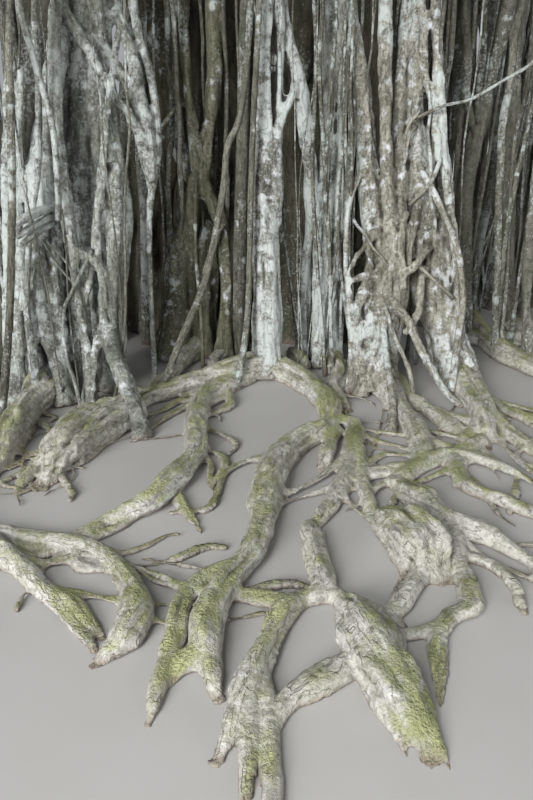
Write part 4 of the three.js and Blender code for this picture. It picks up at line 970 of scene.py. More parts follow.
# Bark grain: fine noise drawn out along the limb, and dark cracks where a wave of it crosses zero
def barkGrainGroup():
    group, given, result = newGroup("barkGrain", ("Tone", "Crack", "Height"),
                                    Vector=(0, 0, 0), Stretch=(0.25, 1, 1), Scale=14.0)
    drawn = node(group, "VectorMath", {0: given["Vector"], 1: given["Stretch"]},
                 operation="MULTIPLY").outputs[0]
    broad, fine = noise(group, drawn, 4.3, 4.0), noise(group, drawn, given["Scale"], 8.0, 0.62)
    rift = noise(group, drawn, product(group, given["Scale"], 0.7), 3.0, distortion=0.6)
    away = maths(group, "ABSOLUTE", maths(group, "SUBTRACT", rift, 0.5))
    crack = rampBetween(group, away, 0.016, 0.0)
    feed(result, {"Tone": rampBetween(group, maths(group, "ADD", broad, fine), 0.66, 1.34), "Crack": crack,
                  "Height": maths(group, "SUBTRACT", fine, product(group, crack, 0.35))})
    return group


# Lichen: small blotches, kept to the places where a broad noise is high
def lichenGroup():
    group, given, result = newGroup("lichen", ("Mask", "Tint"), Vector=(0, 0, 0), Scale=16.0, Amount=0.5)
    blotch = noise(group, given["Vector"], given["Scale"], 7.0, 0.68)
    broad = noise(group, given["Vector"], 1.7, 3.0)
    level = maths(group, "ADD", blotch, maths(group, "ADD", broad, given["Amount"]))
    spots = node(group, "TexVoronoi", {"Vector": given["Vector"], "Scale": given["Scale"]})
    level = maths(group, "SUBTRACT", level, product(group, spots.outputs["Distance"], 0.3))
    feed(result, {"Mask": rampBetween(group, level, 1.34, 1.5), "Tint": broad})
    return group


# Green film: soft clouds of fine noise
def filmGroup():
    group, given, result = newGroup("film", ["Mask"], Vector=(0, 0, 0), Amount=0.3)
    level = maths(group, "ADD", noise(group, given["Vector"], 4.5, 10.0, 0.72), given["Amount"])
    feed(result, {"Mask": rampBetween(group, level, 0.72, 1.12)})
    return group


# 1 on the ground, falling evenly to 0 at the reach
def nearGround(group, given, reach):
    high = node(group, "SeparateXYZ", {0: given["Vector"]}).outputs[2]
    return node(group, "MapRange", {0: high, 1: reach, 2: 0.0}).outputs[0]


# Moss: lies on faces that look up, thickest near the ground, and ends in a ragged edge
def mossGroup():
    group, given, result = newGroup("moss", ("Mask", "Height"), Vector=(0, 0, 0), Reach=0.4, Amount=0.5)
    up = node(group, "SeparateXYZ", {0: node(group, "NewGeometry").outputs["Normal"]}).outputs[2]
    level = maths(group, "ADD", product(group, up, 0.5), noise(group, given["Vector"], 9.0, 7.0, 0.7))
    level = maths(group, "ADD", level, noise(group, given["Vector"], 1.6))
    level = maths(group, "ADD", level, given["Amount"])
    mask = product(group, rampBetween(group, level, 1.66, 2.0), nearGround(group, given, given["Reach"]))
    feed(result, {"Mask": mask, "Height": product(group, mask, noise(group, given["Vector"], 90.0, 4.0))})
    return group


# Stain: tints the lowest few centimetres, up to a ragged line
def stainGroup():
    group, given, result = newGroup("stain", ["Mask"], Vector=(0, 0, 0), Reach=0.06)
    reach = product(group, noise(group, given["Vector"], 11.0, 5.0), product(group, given["Reach"], 2.0))
    feed(result, {"Mask": nearGround(group, given, reach)})
    return group


# Veins: a pale midrib along the blade's middle and side veins that slant from it
def veinGroup():
    group, given, result = newGroup("veins", ("Vein", "Edge"), Blade=(0, 0, 0))
    along, across = node(group, "SeparateXYZ", {0: given["Blade"]}).outputs[:2]
    away = maths(group, "ABSOLUTE", maths(group, "SUBTRACT", across, 0.5))
    slant = maths(group, "SUBTRACT", along, product(group, away, 0.7))
    comb = maths(group, "PINGPONG", product(group, slant, 9.0), 1.0)
    ribs = product(group, rampBetween(group, comb, 0.16, 0.0), 0.35)
    feed(result, {"Vein": maths(group, "MAXIMUM", rampBetween(group, away, 0.045, 0.01), ribs),
                  "Edge": rampBetween(group, away, 0.3, 0.5)})
    return group


shared = {"grain": barkGrainGroup(), "lichen": lichenGroup(), "moss": mossGroup(), "stain": stainGroup(),
          "film": filmGroup(), "veins": veinGroup()}


def place(tree_, group, **values):
    made = tree_.nodes.new("ShaderNodeGroup")
    made.node_tree = shared[group]
    return feed(made, values).outputs


# A new material, its tree and the place on the object. finishMaterial links what the layers made
def newMaterial(name):
    material = bpy.data.materials.new(name)
    material.use_nodes = True
    return material, material.node_tree, node(material.node_tree, "TexCoord").outputs["Object"]


def finishMaterial(material, colour, roughness, specular=0.5, bump=None):
    made = material.node_tree
    inputs = {"Base Color": colour, "Roughness": roughness, "Specular IOR Level": specular}
    if bump:
        inputs["Normal"] = node(made, "Bump", bump).outputs[0]
    feed(made.nodes["Principled BSDF"], inputs)
    return material


def readPoint(tree_, name, output="Fac"):
    return node(tree_, "Attribute", attribute_name=name).outputs[output]


# Bark: grain, green film, pale lichen in patches and specks, painted shade in the creases, moss and stain in
# layers
def barkFinish(name, look):
    material, made, spot = newMaterial(name)
    creaseShade = rampBetween(made, readPoint(made, "creaseShade"), 0.1, 0.8)
    seam = readPoint(made, "seam")
    away, bare = maths(made, "SUBTRACT", 1.0, seam), maths(made, "SUBTRACT", 1.0, creaseShade)
    grain = place(made, "grain", Vector=readPoint(made, "flow", "Vector"), Stretch=look["stretch"],
                  Scale=look["grainScale"])
    tone = maths(made, "ADD", product(made, grain["Tone"], away), product(made, seam, look["seamTone"]))
    film = place(made, "film", Vector=spot, Amount=look["film"])["Mask"]
    patches = place(made, "lichen", Vector=spot, Scale=look["patchScale"], Amount=look["patches"])
    specks = place(made, "lichen", Vector=spot, Scale=look["speckScale"], Amount=look["specks"])["Mask"]
    moss = place(made, "moss", Vector=spot, Reach=look["mossReach"], Amount=look["moss"])
    stain = place(made, "stain", Vector=spot, Reach=look["stainReach"])["Mask"]
    mottle = noise(made, spot, look["mottleScale"], 5.0, 0.72)
    pale = mixColour(made, rampBetween(made, patches["Tint"], 0.42, 0.58), look["lichenGrey"],
                     look["lichenGreen"])
    colour = mixColour(made, tone, look["dark"], look["light"])
    for share, layer in (
        (product(made, film, look["filmShare"]), look["filmColour"]),
        (product(made, grain["Crack"], away, look["cracks"]), look["crackAndCreaseShadeColour"]),
        (product(made, patches["Mask"], bare, look["patchShare"]), pale),
        (product(made, specks, bare, look["speckShare"]), look["speckColour"]),
        # painted shade: the crease measure darkens the bark towards the crack colour in creases and between
        # strands
        (product(made, creaseShade, look["creaseShadeShare"]), look["crackAndCreaseShadeColour"]),
        (product(made, rampBetween(made, mottle, 0.56, 0.38), look["mottle"],
                 rampBetween(made, patches["Mask"], 1.5, 0.0)), look["mottleColour"]),
        (moss["Mask"], mixColour(made, tone, look["mossDark"], look["mossLight"])),
        (product(made, stain, look["stainShare"]), look["stainColour"]),
    ):
        colour = mixColour(made, share, colour, layer)
    raised = maths(made, "ADD", product(made, grain["Height"], away), moss["Height"])
    raised = maths(made, "ADD", raised, product(made, mottle, look["mottleHeight"]))
    return finishMaterial(material, colour, 0.9, 0.25,
                          {"Height": raised, "Strength": look["bump"], "Distance": look["bumpDepth"]})


barkLook = {
    "dark": (0.11, 0.102, 0.088), "light": (0.38, 0.36, 0.32), "seamTone": 0.45,
    # the crack colour darkens the real cracks, and with the crease share it also paints shade into the
    # creases
    "cracks": 0.35, "crackAndCreaseShadeColour": (0.035, 0.031, 0.025), "creaseShadeShare": 0.9,
    "film": 0.3, "filmShare": 0.7, "filmColour": (0.17, 0.2, 0.13),
    "patches": 0.45, "patchShare": 0.87, "patchScale": 13.0,
    "specks": 0.46, "speckShare": 0.6, "speckScale": 55.0, "speckColour": (0.78, 0.82, 0.82),
    "lichenGrey": (0.93, 0.95, 0.98), "lichenGreen": (0.68, 0.75, 0.69),
    "moss": 0.05, "mossReach": 0.7, "mossDark": (0.17, 0.2, 0.05), "mossLight": (0.44, 0.47, 0.15),
    "stainReach": 0.05, "stainShare": 0.8, "stainColour": (0.36, 0.29, 0.24),
    "mottle": 0.55, "mottleScale": 42.0, "mottleHeight": 0.7, "mottleColour": (0.1, 0.09, 0.07),
    "stretch": (0.28, 1, 1), "grainScale": 24.0, "bump": 1.0, "bumpDepth": 0.02,
}
barkKinds = {  # what each bark has of its own
    # The trunk's core is darker than the stems' bark: painted shade for the recess behind the stems and
    # strands
    "trunk": {"dark": (0.05, 0.045, 0.034), "light": (0.25, 0.22, 0.165), "patches": 0.3, "specks": 0.34,
              "film": 0.38, "filmColour": (0.12, 0.145, 0.08)},
    "recess": {"dark": (0.09, 0.086, 0.06), "light": (0.44, 0.42, 0.32), "patches": 0.47, "specks": 0.45,
               "film": 0.4, "filmColour": (0.16, 0.19, 0.1)},
    "grey": {"dark": (0.13, 0.134, 0.118), "light": (0.6, 0.62, 0.56), "patches": 0.5, "specks": 0.49},
    "pale": {"dark": (0.12, 0.117, 0.1), "light": (0.56, 0.56, 0.5), "patches": 0.56, "specks": 0.54},
    "brown": {"dark": (0.15, 0.14, 0.107), "light": (0.65, 0.625, 0.53), "patches": 0.55, "specks": 0.52},
    "green": {"patches": 0.36, "film": 0.42, "specks": 0.4},
    "rope": {"dark": (0.085, 0.083, 0.064), "light": (0.39, 0.385, 0.32), "patches": 0.42, "specks": 0.44,
             "grainScale": 40.0},
    # the root's crack colour also paints the shade in its creases
    "root": {"dark": (0.52, 0.495, 0.45), "light": (0.93, 0.91, 0.86), "cracks": 0.28,
             "crackAndCreaseShadeColour": (0.09, 0.08, 0.06), "stretch": (0.3, 1, 1), "grainScale": 34.0,
             "mottle": 0.48, "mottleColour": (0.18, 0.17, 0.115), "patches": 0.32, "specks": 0.36,
             "film": 0.36, "filmColour": (0.55, 0.55, 0.38), "stainReach": 0.03,
             "moss": 0.36, "mossReach": 0.9, "mossDark": (0.25, 0.27, 0.11), "mossLight": (0.68, 0.7, 0.38)},
    "bough": {"patches": 0.4, "moss": -0.3},
    "twig": {"dark": (0.07, 0.06, 0.048), "light": (0.2, 0.18, 0.15), "patches": 0.3, "specks": 0.3,
             "moss": -0.3},
}
barks = {kind: barkFinish(kind + "Bark", {**barkLook, **own}) for kind, own in barkKinds.items()}
print("bark finishes made:", len(barks))

# Frequency along a limb and to its two sides
trunkRelief = [
    {"frequency": (2.2, 5, 5), "height": 0.02},
    {"frequency": (1.5, 11, 11), "height": 0.024, "ridged": True},
    {"frequency": (4, 24, 24), "height": 0.01, "ridged": True},
]
stemRelief = [
    {"frequency": (2.6, 6, 6), "height": 0.009},
    {"frequency": (1.8, 15, 15), "height": 0.014, "ridged": True},
    {"frequency": (5, 32, 32), "height": 0.006, "ridged": True},
    {"frequency": (26, 38, 38), "height": 0.0025},
]
finerRelief = [
    {"frequency": (2.6, 6, 6), "height": 0.005},
    {"frequency": (2.4, 22, 22), "height": 0.008, "ridged": True},
    {"frequency": (5, 40, 40), "height": 0.005, "ridged": True},
    {"frequency": (26, 38, 38), "height": 0.003},
]
rootRelief = [
    {"frequency": (4, 5, 5), "height": 0.012},
    {"frequency": (2.6, 19, 19), "height": 0.013, "ridged": True},
    {"frequency": (7, 40, 40), "height": 0.006, "ridged": True},
    {"frequency": (22, 30, 30), "height": 0.003},
]


boughNames = ["bough_front_left", "bough_front", "bough_front_right", "bough_right", "bough_back_right",
              "bough_back", "bough_back_left", "bough_left"]
upperNames = [f"upper_bough_{i}" for i in range(1, 6)]
thin = {"step": 0.03, "sides": 10, "depth": 0.12, "seed": 35}
mossy = {"slot": "mossy_bark", "bark": "root", "relief": rootRelief}
frontGround = frontRoots + frontRightRoots
leftGround = frontLeftRoots + leftFrontRoots
otherGround = sum(otherRoots.values(), [])


def onGround(roots):
    return [groundLimb(root) for root in roots]


# The bars of each piece are groups of limbs with the form of their bars. Where there is a voxel size
# they melt into one skin, and thin strands stay bars, as they would break up on its grid
barkPieces = {
    # its bark is the dark trunk finish, painted shade for the recess
    "trunk_bark": {
        "nodes": ["trunk"], "bark": "trunk", "relief": trunkRelief, "voxel": 0.031,
        "bars": [([core], {"step": 0.06, "sides": 48, "ropes": 16, "seed": 2}),
                 (innerRoots, {"ropes": 4, "seed": 4}),
                 (fusedStems, {"step": 0.06, "sides": 24, "ropes": 6, "seed": 6})]},
    "recess_bark": {
        "nodes": ["trunk"], "bark": "recess", "relief": stemRelief, "voxel": 0.0145,
        "bars": [(frontStrands["stems in the recess"], {"sides": 16, "ropes": 4, "seed": 7})]},
    "left_trunk_bark": {
        "nodes": ["left_trunk"], "bark": "grey", "relief": finerRelief, "voxel": 0.0135,
        "bars": [(leftTrunk, {"ropes": 9, "seed": 8}),
                 (frontStrands["branches crossing the left trunk"], {"sides": 12}),
                 (frontStrands["bundle of the left trunk"], {"sides": 12, "depth": 0.14})]},
    "right_trunk_bark": {
        "nodes": ["right_trunk"], "bark": "brown", "relief": finerRelief, "voxel": 0.013,
        "bars": [(rightTrunk, {"ropes": 8, "seed": 10}),
                 (frontStrands["roots fused to the right trunk"], {"sides": 12, "depth": 0.14})]},
    "middle_stem_bark": {
        "nodes": ["middle_stem"], "bark": "pale", "relief": stemRelief, "voxel": 0.012,
        "bars": [(middleStem, {"ropes": 4, "seed": 12})]},
    "middle_bundle_bark": {
        "nodes": ["middle_bundle"], "bark": "grey", "relief": stemRelief, "voxel": 0.0125,
        "bars": [(middleBundle, {"ropes": 6, "seed": 14})]},
    "right_stem_bark": {
        "nodes": ["grey_stem", "green_stem", "right_edge_stem"], "bark": "green", "relief": stemRelief,
        "voxel": 0.015, "bars": [(greyStem + greenStem + rightEdgeStem, {"ropes": 3, "seed": 16})]},
    "side_stem_bark": {
        "nodes": list(sidePillars), "bark": "green", "relief": stemRelief, "voxel": 0.034,
        "bars": [(sidePillars.values(), {"step": 0.06, "sides": 24, "ropes": 7, "seed": 18})]},
    "prop_root_bark": {
        "nodes": list(propRoots), "bark": "green", "relief": stemRelief, "voxel": 0.032,
        "bars": [([propRoot(**sizes) for sizes in propRoots.values()],
                  {"step": 0.06, "ropes": 4, "seed": 20})]},
    "front_root_bark": {
        **mossy, "nodes": ["front_roots", "front_right_roots"], "voxel": 0.0122, "flare": 0.006,
        "bars": [(onGround(frontGround + fineFrontRoots),
                  {"step": 0.03, "ropes": 7, "seed": 22, "depth": 0.13}),
                 (onGround(rootletsOn(frontGround, perRoot=6, seed=31)), {"step": 0.03, "sides": 10})]},
    "left_root_bark": {
        **mossy, "nodes": ["front_left_roots", "left_front_roots"], "voxel": 0.0115, "flare": 0.006,
        "bars": [(onGround(leftGround), {"step": 0.03, "ropes": 7, "seed": 24, "depth": 0.13}),
                 (onGround(rootletsOn(leftGround, perRoot=10, seed=37)), {"step": 0.03, "sides": 10})]},
    "other_root_bark": {
        **mossy, "nodes": list(otherRoots), "voxel": 0.0245, "flare": 0.01,
        "bars": [(onGround(otherGround), {"step": 0.04, "sides": 16, "ropes": 3, "seed": 26, "depth": 0.1}),
                 (onGround(rootletsOn(otherGround, perRoot=6, seed=41)), {"step": 0.04, "sides": 8})]},
    "bough_bark": {
        "nodes": boughNames + upperNames + ["leader"], "bark": "bough", "relief": stemRelief[:1],
        "bars": [(lowBoughs + highBoughs + [leader], {"step": 0.09, "ropes": 4, "seed": 28})]},
    "left_strands": {
        "nodes": ["left_trunk"], "bark": "grey", "relief": stemRelief[3:],
        "bars": [(frontStrands["strands on the left trunk"] + leftTrunk[-1:], thin)]},
    "recess_strands": {
        "nodes": ["trunk"], "bark": "recess", "relief": stemRelief[3:],
        "bars": [(frontStrands["thin roots in the recess"], thin)]},
    "middle_strands": {
        "nodes": ["middle_bundle"], "bark": "rope", "relief": stemRelief[3:],
        "bars": [(frontStrands["strands by the middle stem"], thin)]},
    "right_strands": {
        "nodes": ["right_trunk"], "bark": "brown", "relief": stemRelief[3:],
        "bars": [(frontStrands["roots on the right trunk"] + rightTrunk[-2:]
                  + frontStrands["the long thin runner on the right"], thin)]},
    "aerial_root_bark": {
        "nodes": ["crossing_root", "green_aerial_root", "left_aerial_root"], "bark": "rope",
        "relief": stemRelief[3:],
        "bars": [(crossingRoot + greenAerialRoot + leftAerialRoot, {**thin, "step": 0.04, "seed": 33})]},
}
footFlare = 0.035  # of upright pieces
for name, own in barkPieces.items():
    shapes = [shape for limbs, form in own["bars"] for shape in limbShapes(limbs, **form)]
    slot = own.get("slot", "bark")
    if "voxel" in own:
        mesh = fuse(name, shapes, own["voxel"])
        addRelief(mesh, own["relief"], shapes if slot == "mossy_bark" else None, own.get("flare", footFlare))
        addCreaseShade(mesh)
    else:
        mesh = meshOf(name, shapes)
        addRelief(mesh, own["relief"], shapes)
    placePiece(name, mesh, own["nodes"], [barks[own["bark"]]])

hangingMesh = meshOf("hanging_roots", [tube(path, radius, 6) for path, radius in hangingRoots()])
keepFlow(hangingMesh, readRows(hangingMesh.vertices, "co")[:, [2, 0, 1]])
placePiece("hanging_roots", hangingMesh, [], [barks["rope"]])


# Leaves and twigs of each mass grow on from the bough's tip, as the solids' twigs do: limbs, then
# branches, then twigs and sprays of leaves, all kept to the mass's own space

# One generation after the other: how many in a mass, how far out as shares of its half sizes, half
# widths at both ends, where on the older one they start, how much they lift, sides and steps
generations = [
    {"count": 10, "reach": 0.47, "thick": (0.07, 0.03), "from": (0.1, 0.9), "lift": 0.08, "form": (6, 5),
     "seed": 0},
    {"count": 54, "reach": 0.72, "thick": (0.028, 0.012), "from": (0.35, 1), "lift": 0.06, "form": (5, 4),
     "seed": 3},
    {"count": 270, "reach": (0.93, 0.8, 0.62), "thick": (0.011, 0.006), "from": (0.2, 1), "lift": 0.05,
     "form": (4, 3), "seed": 7},
]
leafage = {
    "stem": (0.13, 0.06),  # half widths of the bough's end within the mass
    "sprays": (0.42, 0.58, 0.74, 0.88, 1.0),  # where sprays leave a twig
    "stalk": (0.3, 0.45), "stalkThick": 0.006, "leaves": 9, "length": (0.19, 0.26), "width": (0.42, 0.54),
    "firstLeaf": 0.3, "open": 52, "opening": (1.15, 0.35), "droop": 0.25, "scatter": 0.12, "margin": 0.05,
    "overTop": 0.12,  # how far a stalk's tip may pass the solids' top
    "tints": (0.28, 0.3, 0.14, 0.16, 0.12),  # how often each green is drawn
}
stalkWay = {"along": 0.55, "out": 0.75, "up": 0.12, "scatter": 0.38}
leafFacing = {"out": 0.55, "round": 0.3, "up": 0.9, "scatter": 0.22}
goalForm = {"scatter": 0.06, "spread": (0.95, 1.03), "rounds": 6, "drawnIn": 0.86}
branchForm = {"bend": 0.08, "near": (0.35, 0.65), "beyond": 0.15}
goldenAngle = 2.39996
greens = {
    "leafDeep": (0.07, 0.13, 0.03), "leafMid": (0.105, 0.185, 0.042), "leafFresh": (0.165, 0.27, 0.06),
    "leafOlive": (0.14, 0.18, 0.05), "leafBlue": (0.075, 0.145, 0.052),
}


def massOf(name, limb, size, seed):
    path = smoothPath(limb["route"], limb["thick"], 0.3)[0]
    return {"name": name, "tip": path[-1], "middle": np.array(limb["middle"], float),
            "size": np.array(size), "seed": seed}


masses = [massOf("foliage_" + name.removeprefix("bough_"), limb, tree["lowMassSize"], 100 + i)
          for i, (name, limb) in enumerate(zip(boughNames, lowBoughs))]
masses += [massOf(f"upper_foliage_{i + 1}", limb, tree["upperMassSize"], 120 + i)
           for i, limb in enumerate(highBoughs)]
masses.append(massOf("top_foliage", leader, tree["topMassSize"], 140))


def shareOf(mass, places):
    return np.linalg.norm((places - mass["middle"]) / mass["size"], axis=-1)


# A place is a mass's own where its share of the half sizes is under the limit and under every
# other mass's share by the margin
def isOwn(mass, places, limit=0.95):
    own = shareOf(mass, places)
    free = own < limit
    for other in masses:
        if other is not mass:
            free &= own + leafage["margin"] < shareOf(other, places)
    return free


# Even directions over a ball: z = 1 - 2 * ((0.7548777 i + 0.37 seed) mod 1), at 0.5698403 i turns
def evenDirections(count, seed):
    i = np.arange(1, count + 1)
    z = 1 - 2 * ((i * 0.7548777 + seed * 0.37) % 1)
    ring, turn = np.sqrt(1 - z * z), i * 0.5698403 * 2 * math.pi
    return np.column_stack([ring * np.cos(turn), ring * np.sin(turn), z])


# Goals in even directions, drawn in towards the middle until they are the mass's own
def goals(mass, count, seed, shells, random):
    way = evenDirections(count, seed) + random.normal(0, goalForm["scatter"], (count, 3))
    far = np.resize(shells, count) * random.uniform(*goalForm["spread"], count)
    places = mass["middle"] + way * mass["size"] * far[:, None]
    for i in range(goalForm["rounds"]):
        lost = ~isOwn(mass, places)
        far[lost] *= goalForm["drawnIn"]
        places[lost] = (mass["middle"] + way * mass["size"] * far[:, None])[lost]
    return places[isOwn(mass, places)]


# Bent branches as whole arrays: B(t) = (1-t)^2 start + 2t(1-t) bend + t^2 end
def bentPoints(start, bend, end, t):
    return (1 - t) ** 2 * start + 2 * t * (1 - t) * bend + t * t * end


def bentBranches(start, bend, end, thick, sides, steps):
    t = np.linspace(0, 1, steps + 1)
    path = bentPoints(start[:, None], bend[:, None], end[:, None], t[None, :, None])
    tangent = unit(np.gradient(path, axis=1), 1e-9)
    side = unit(np.cross(tangent, [0.31, 0.17, 0.93]), 1e-9)
    rise = np.cross(side, tangent)
    angle = np.linspace(0, 2 * math.pi, sides, endpoint=False)[None, None, :, None]
    radius = (thick[0] + (thick[1] - thick[0]) * t)[None, :, None, None]
    ring = side[:, :, None] * np.cos(angle) - rise[:, :, None] * np.sin(angle)
    places = path[:, :, None] + radius * ring
    grid = np.arange(places[..., 0].size).reshape(places.shape[:3])
    turned = np.roll(grid, -1, axis=2)
    skin = np.stack([grid[:, :-1], turned[:, :-1], turned[:, 1:], grid[:, 1:]], axis=-1).reshape(-1, 4)
    ends = np.vstack([grid[:, 0, ::-1], grid[:, -1]])
    return places.reshape(-1, 3), [skin, ends]


# Each goal is joined to the nearest of the older branches, at a seeded share along it. Where there
# is only one, the bough's end, they start on the straight line from its start to its end
def joinToNearest(older, goal, shares, random):
    start, bend, end = older
    t = random.uniform(*shares, (len(goal), 1))
    if len(start) == 1:
        return start * (1 - t) + end * t
    near = branchForm["near"][0] * start + branchForm["near"][1] * end
    nearest = np.argmin(np.linalg.norm(goal[:, None] - near[None], axis=2), axis=1)
    return bentPoints(start[nearest], bend[nearest], end[nearest], t)


def bendBetween(start, end, lift, random):
    reach = np.linalg.norm(end - start, axis=1)[:, None]
    bend = (start + end) / 2 + random.normal(0, branchForm["bend"], start.shape) * reach
    bend[:, 2] += lift * reach[:, 0]
    return bend


# Sprays: a stalk of three sides with leaves round it at the golden angle, each opened from the
# stalk by the same angle and let down by the droop. A leaf is two faces folded along its midrib
def growSprays(mass, twigs, random):
    start, bend, end = (part[:, None] for part in twigs)
    t = np.array(leafage["sprays"])[None, :, None]
    root = bentPoints(start, bend, end, t)
    along = 2 * (1 - t) * (bend - start) + 2 * t * (end - bend)
    root, along = root.reshape(-1, 3), unit(along.reshape(-1, 3), 1e-9)
    out = unit((root - mass["middle"]) / mass["size"], 1e-9)
    way = unit(stalkWay["along"] * along + stalkWay["out"] * out
               + random.normal(0, stalkWay["scatter"], root.shape) + [0, 0, stalkWay["up"]])
    reach = random.uniform(*leafage["stalk"], len(root))
    tip = root + way * reach[:, None]
    free = isOwn(mass, tip) & (tip[:, 2] < cadBox[1][2] + leafage["overTop"])
    root, way, reach, tip, out = (part[free] for part in (root, way, reach, tip, out))

    side = unit(np.cross(way, [0.2, 0.3, 0.93]), 1e-9)
    rise = np.cross(side, way)
    angle = np.arange(3)[None, :, None] * 2.0944  # thirds of a turn
    ring = side[:, None] * np.cos(angle) - rise[:, None] * np.sin(angle)
    foot = root[:, None] + leafage["stalkThick"] * ring
    stalkPlaces = np.concatenate([foot, tip[:, None]], axis=1).reshape(-1, 3)
    first = np.arange(len(root))[:, None, None] * 4
    stalkFaces = (first + np.array([[0, 1, 3], [1, 2, 3], [2, 0, 3], [2, 1, 0]])).reshape(-1, 3)

    count = leafage["leaves"]
    at = np.linspace(leafage["firstLeaf"], 1, count)
    turn = random.uniform(0, 6.28, len(root))[:, None] + np.arange(count)[None] * goldenAngle
    opened = math.radians(leafage["open"]) * np.linspace(*leafage["opening"], count)[None, :, None]
    round_ = side[:, None] * np.cos(turn)[..., None] + rise[:, None] * np.sin(turn)[..., None]
    blade = way[:, None] * np.cos(opened) + round_ * np.sin(opened)
    blade = unit(blade + random.normal(0, leafage["scatter"], blade.shape) - [0, 0, leafage["droop"]])
    base = root[:, None] + way[:, None] * (reach[:, None] * at[None])[..., None]
    length = random.uniform(*leafage["length"], (len(root), count, 1))
    broad = length * random.uniform(*leafage["width"], (len(root), count, 1))
    facing = (np.array([0, 0, leafFacing["up"]]) + leafFacing["out"] * out[:, None]
              + leafFacing["round"] * round_ + random.normal(0, leafFacing["scatter"], blade.shape))
    across = unit(np.cross(facing, blade), 1e-9)
    normal = np.cross(blade, across)
    outline = [(0.0, 0.0, 0.0), (1.0, 0.0, -0.1), (0.3, 0.5, 0.07), (0.72, 0.38, 0.04), (0.3, -0.5, 0.07),
               (0.72, -0.38, 0.04)]  # along, across and up from the stalk's end of the blade
    leafPlaces = np.stack([base + blade * length * a + across * broad * b + normal * length * c
                           for a, b, c in outline], axis=2).reshape(-1, 3)
    first = np.arange(len(root) * count)[:, None] * 6
    leafFaces = np.stack([first + [0, 1, 3, 2], first + [0, 4, 5, 1]], axis=1).reshape(-1, 4)
    tints = np.repeat(random.choice(len(greens), len(root), p=leafage["tints"]), count * 2)
    return (stalkPlaces, stalkFaces), (leafPlaces, leafFaces, tints)


def growMass(mass):
    random = np.random.default_rng(mass["seed"])
    tip, middle = mass["tip"], mass["middle"]
    end = middle + (middle - tip) * branchForm["beyond"]
    grown = tuple(part[None] for part in (tip, (tip + middle) / 2, end))
    wood = [bentBranches(*grown, leafage["stem"], 10, 6)]
    for own in generations:
        goal = goals(mass, own["count"], mass["seed"] + own["seed"], own["reach"], random)
        start = joinToNearest(grown, goal, own["from"], random)
        grown = (start, bendBetween(start, goal, own["lift"], random), goal)
        wood.append(bentBranches(*grown, own["thick"], *own["form"]))
    (stalkPlaces, stalkFaces), (leafPlaces, leafFaces, tints) = growSprays(mass, grown, random)
    wood.append((stalkPlaces, [stalkFaces]))
    starts = np.cumsum([0] + [len(places) for places, faceArrays in wood[:-1]])
    faceArrays = [faces + begin for (places, some), begin in zip(wood, starts) for faces in some]
    twigPlaces = np.vstack([places for places, some in wood])
    twigMesh = makeMesh(mass["name"] + "_twigs", twigPlaces, faceArrays)
    keepFlow(twigMesh, twigPlaces)
    placePiece(mass["name"] + "_twigs", twigMesh, [mass["name"]], [barks["twig"]])
    leafMesh = makeMesh(mass["name"] + "_leaves", leafPlaces, [leafFaces], smooth=False)
    blades = leafMesh.uv_layers.new(name="blade")
    corners = np.array([(0, 0.5), (1, 0.5), (0.72, 0.88), (0.3, 1),
                        (0, 0.5), (0.3, 0), (0.72, 0.12), (1, 0.5)])
    blades.data.foreach_set("uv", np.tile(corners.astype(np.float32), (len(leafFaces) // 2, 1)).ravel())
    placePiece(mass["name"] + "_leaves", leafMesh, [mass["name"]], leafFinishes)
    leafMesh.polygons.foreach_set("material_index", tints.astype(np.int32))


leafLook = {"darker": 0.72, "lighter": 1.5, "mottleScale": 26.0, "edges": 0.35, "veins": 0.6,
            "roughness": 0.42, "bump": 0.4, "bumpDepth": 0.004}


def leafFinish(name, green):
    material, made, spot = newMaterial(name)
    veins = place(made, "veins", Blade=node(made, "UVMap", uv_map="blade").outputs[0])
    dark = tuple(value * leafLook["darker"] for value in green)
    light = tuple(min(value * leafLook["lighter"], 1) for value in green)
    mottle = rampBetween(made, noise(made, spot, leafLook["mottleScale"], 3.0), 0.3, 0.7)
    colour = mixColour(made, mottle, dark, green)
    colour = mixColour(made, product(made, veins["Edge"], leafLook["edges"]), colour, dark)
    colour = mixColour(made, product(made, veins["Vein"], leafLook["veins"]), colour, light)
    return finishMaterial(material, colour, leafLook["roughness"],
                          bump={"Height": veins["Vein"], "Strength": leafLook["bump"],
                                "Distance": leafLook["bumpDepth"]})


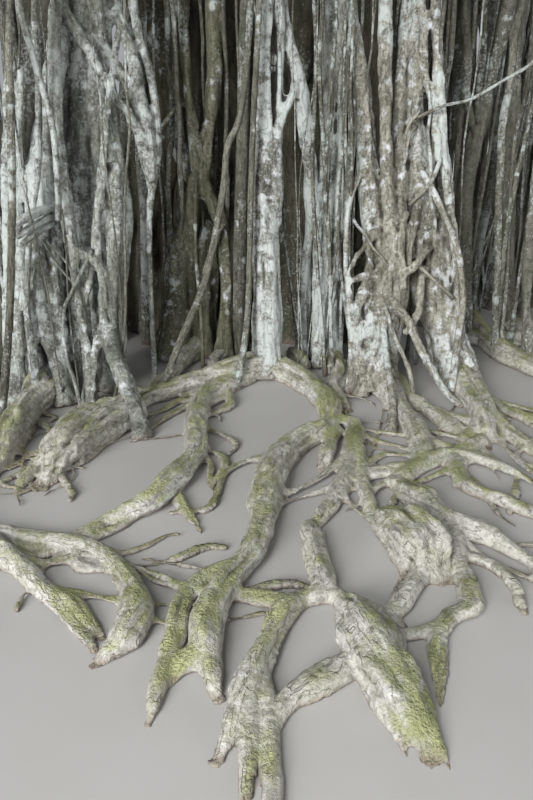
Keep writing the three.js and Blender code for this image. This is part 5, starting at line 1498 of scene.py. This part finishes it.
leafFinishes = [leafFinish(name, green) for name, green in greens.items()]
for mass in masses:
    growMass(mass)


# Floor, lights and the camera at the photo's angle
floorLook = {"radius": 70, "corners": 96, "dark": (0.53, 0.52, 0.5), "light": (0.58, 0.57, 0.555),
             "roughness": 0.85}


def makeFloor():
    angle = np.linspace(0, 2 * math.pi, floorLook["corners"], endpoint=False)
    rim = np.column_stack([np.cos(angle), np.sin(angle), 0 * angle]) * floorLook["radius"]
    mesh = makeMesh("floor", rim, [np.arange(len(rim))[None]], smooth=False)
    material, made, spot = newMaterial("paleFloor")
    colour = mixColour(made, noise(made, spot, 3.0), floorLook["dark"], floorLook["light"])
    mesh.materials.append(finishMaterial(material, colour, floorLook["roughness"]))
    floor = bpy.data.objects.new("floor", mesh)
    bpy.context.collection.objects.link(floor)


# A far lamp, as wide as the spread: its rays go the way given, and reach all sides of the tree alike
def farLight(name, way, spread, strength):
    light = bpy.data.lights.new(name, "SUN")
    light.angle = math.radians(spread)
    light.energy = strength
    lamp = bpy.data.objects.new(name, light)
    lamp.rotation_euler = (math.atan2(math.hypot(way[0], way[1]), -way[2]), 0, math.atan2(-way[0], way[1]))
    bpy.context.collection.objects.link(lamp)


makeFloor()
bpy.context.scene.view_settings.view_transform = "Standard"
farLight("frontLight", (5, 9, -3.8), 26, 2.9)
farLight("rightLight", (-8, 7.5, -3), 24, 0.45)
farLight("backLight", (-3, -13, -4.5), 26, 1.3)
farLight("highLight", (0.33, 0.52, -0.79), 25, 1.8)
world = bpy.data.worlds.new("studio")
bpy.context.scene.world = world
world.use_nodes = True
world.node_tree.nodes["Background"].inputs["Color"].default_value = (0.93, 0.95, 1, 1)
world.node_tree.nodes["Background"].inputs["Strength"].default_value = 0.38

camera = bpy.data.objects.new("camera", bpy.data.cameras.new("camera"))
camera.data.lens = photoView["lens"]
camera.data.sensor_width = photoView["sensor"]
camera.data.clip_end = 500
camera.location = photoView["place"]
camera.rotation_euler = (math.radians(photoView["tilt"]), 0, 0)
bpy.context.collection.objects.link(camera)
bpy.context.scene.camera = camera
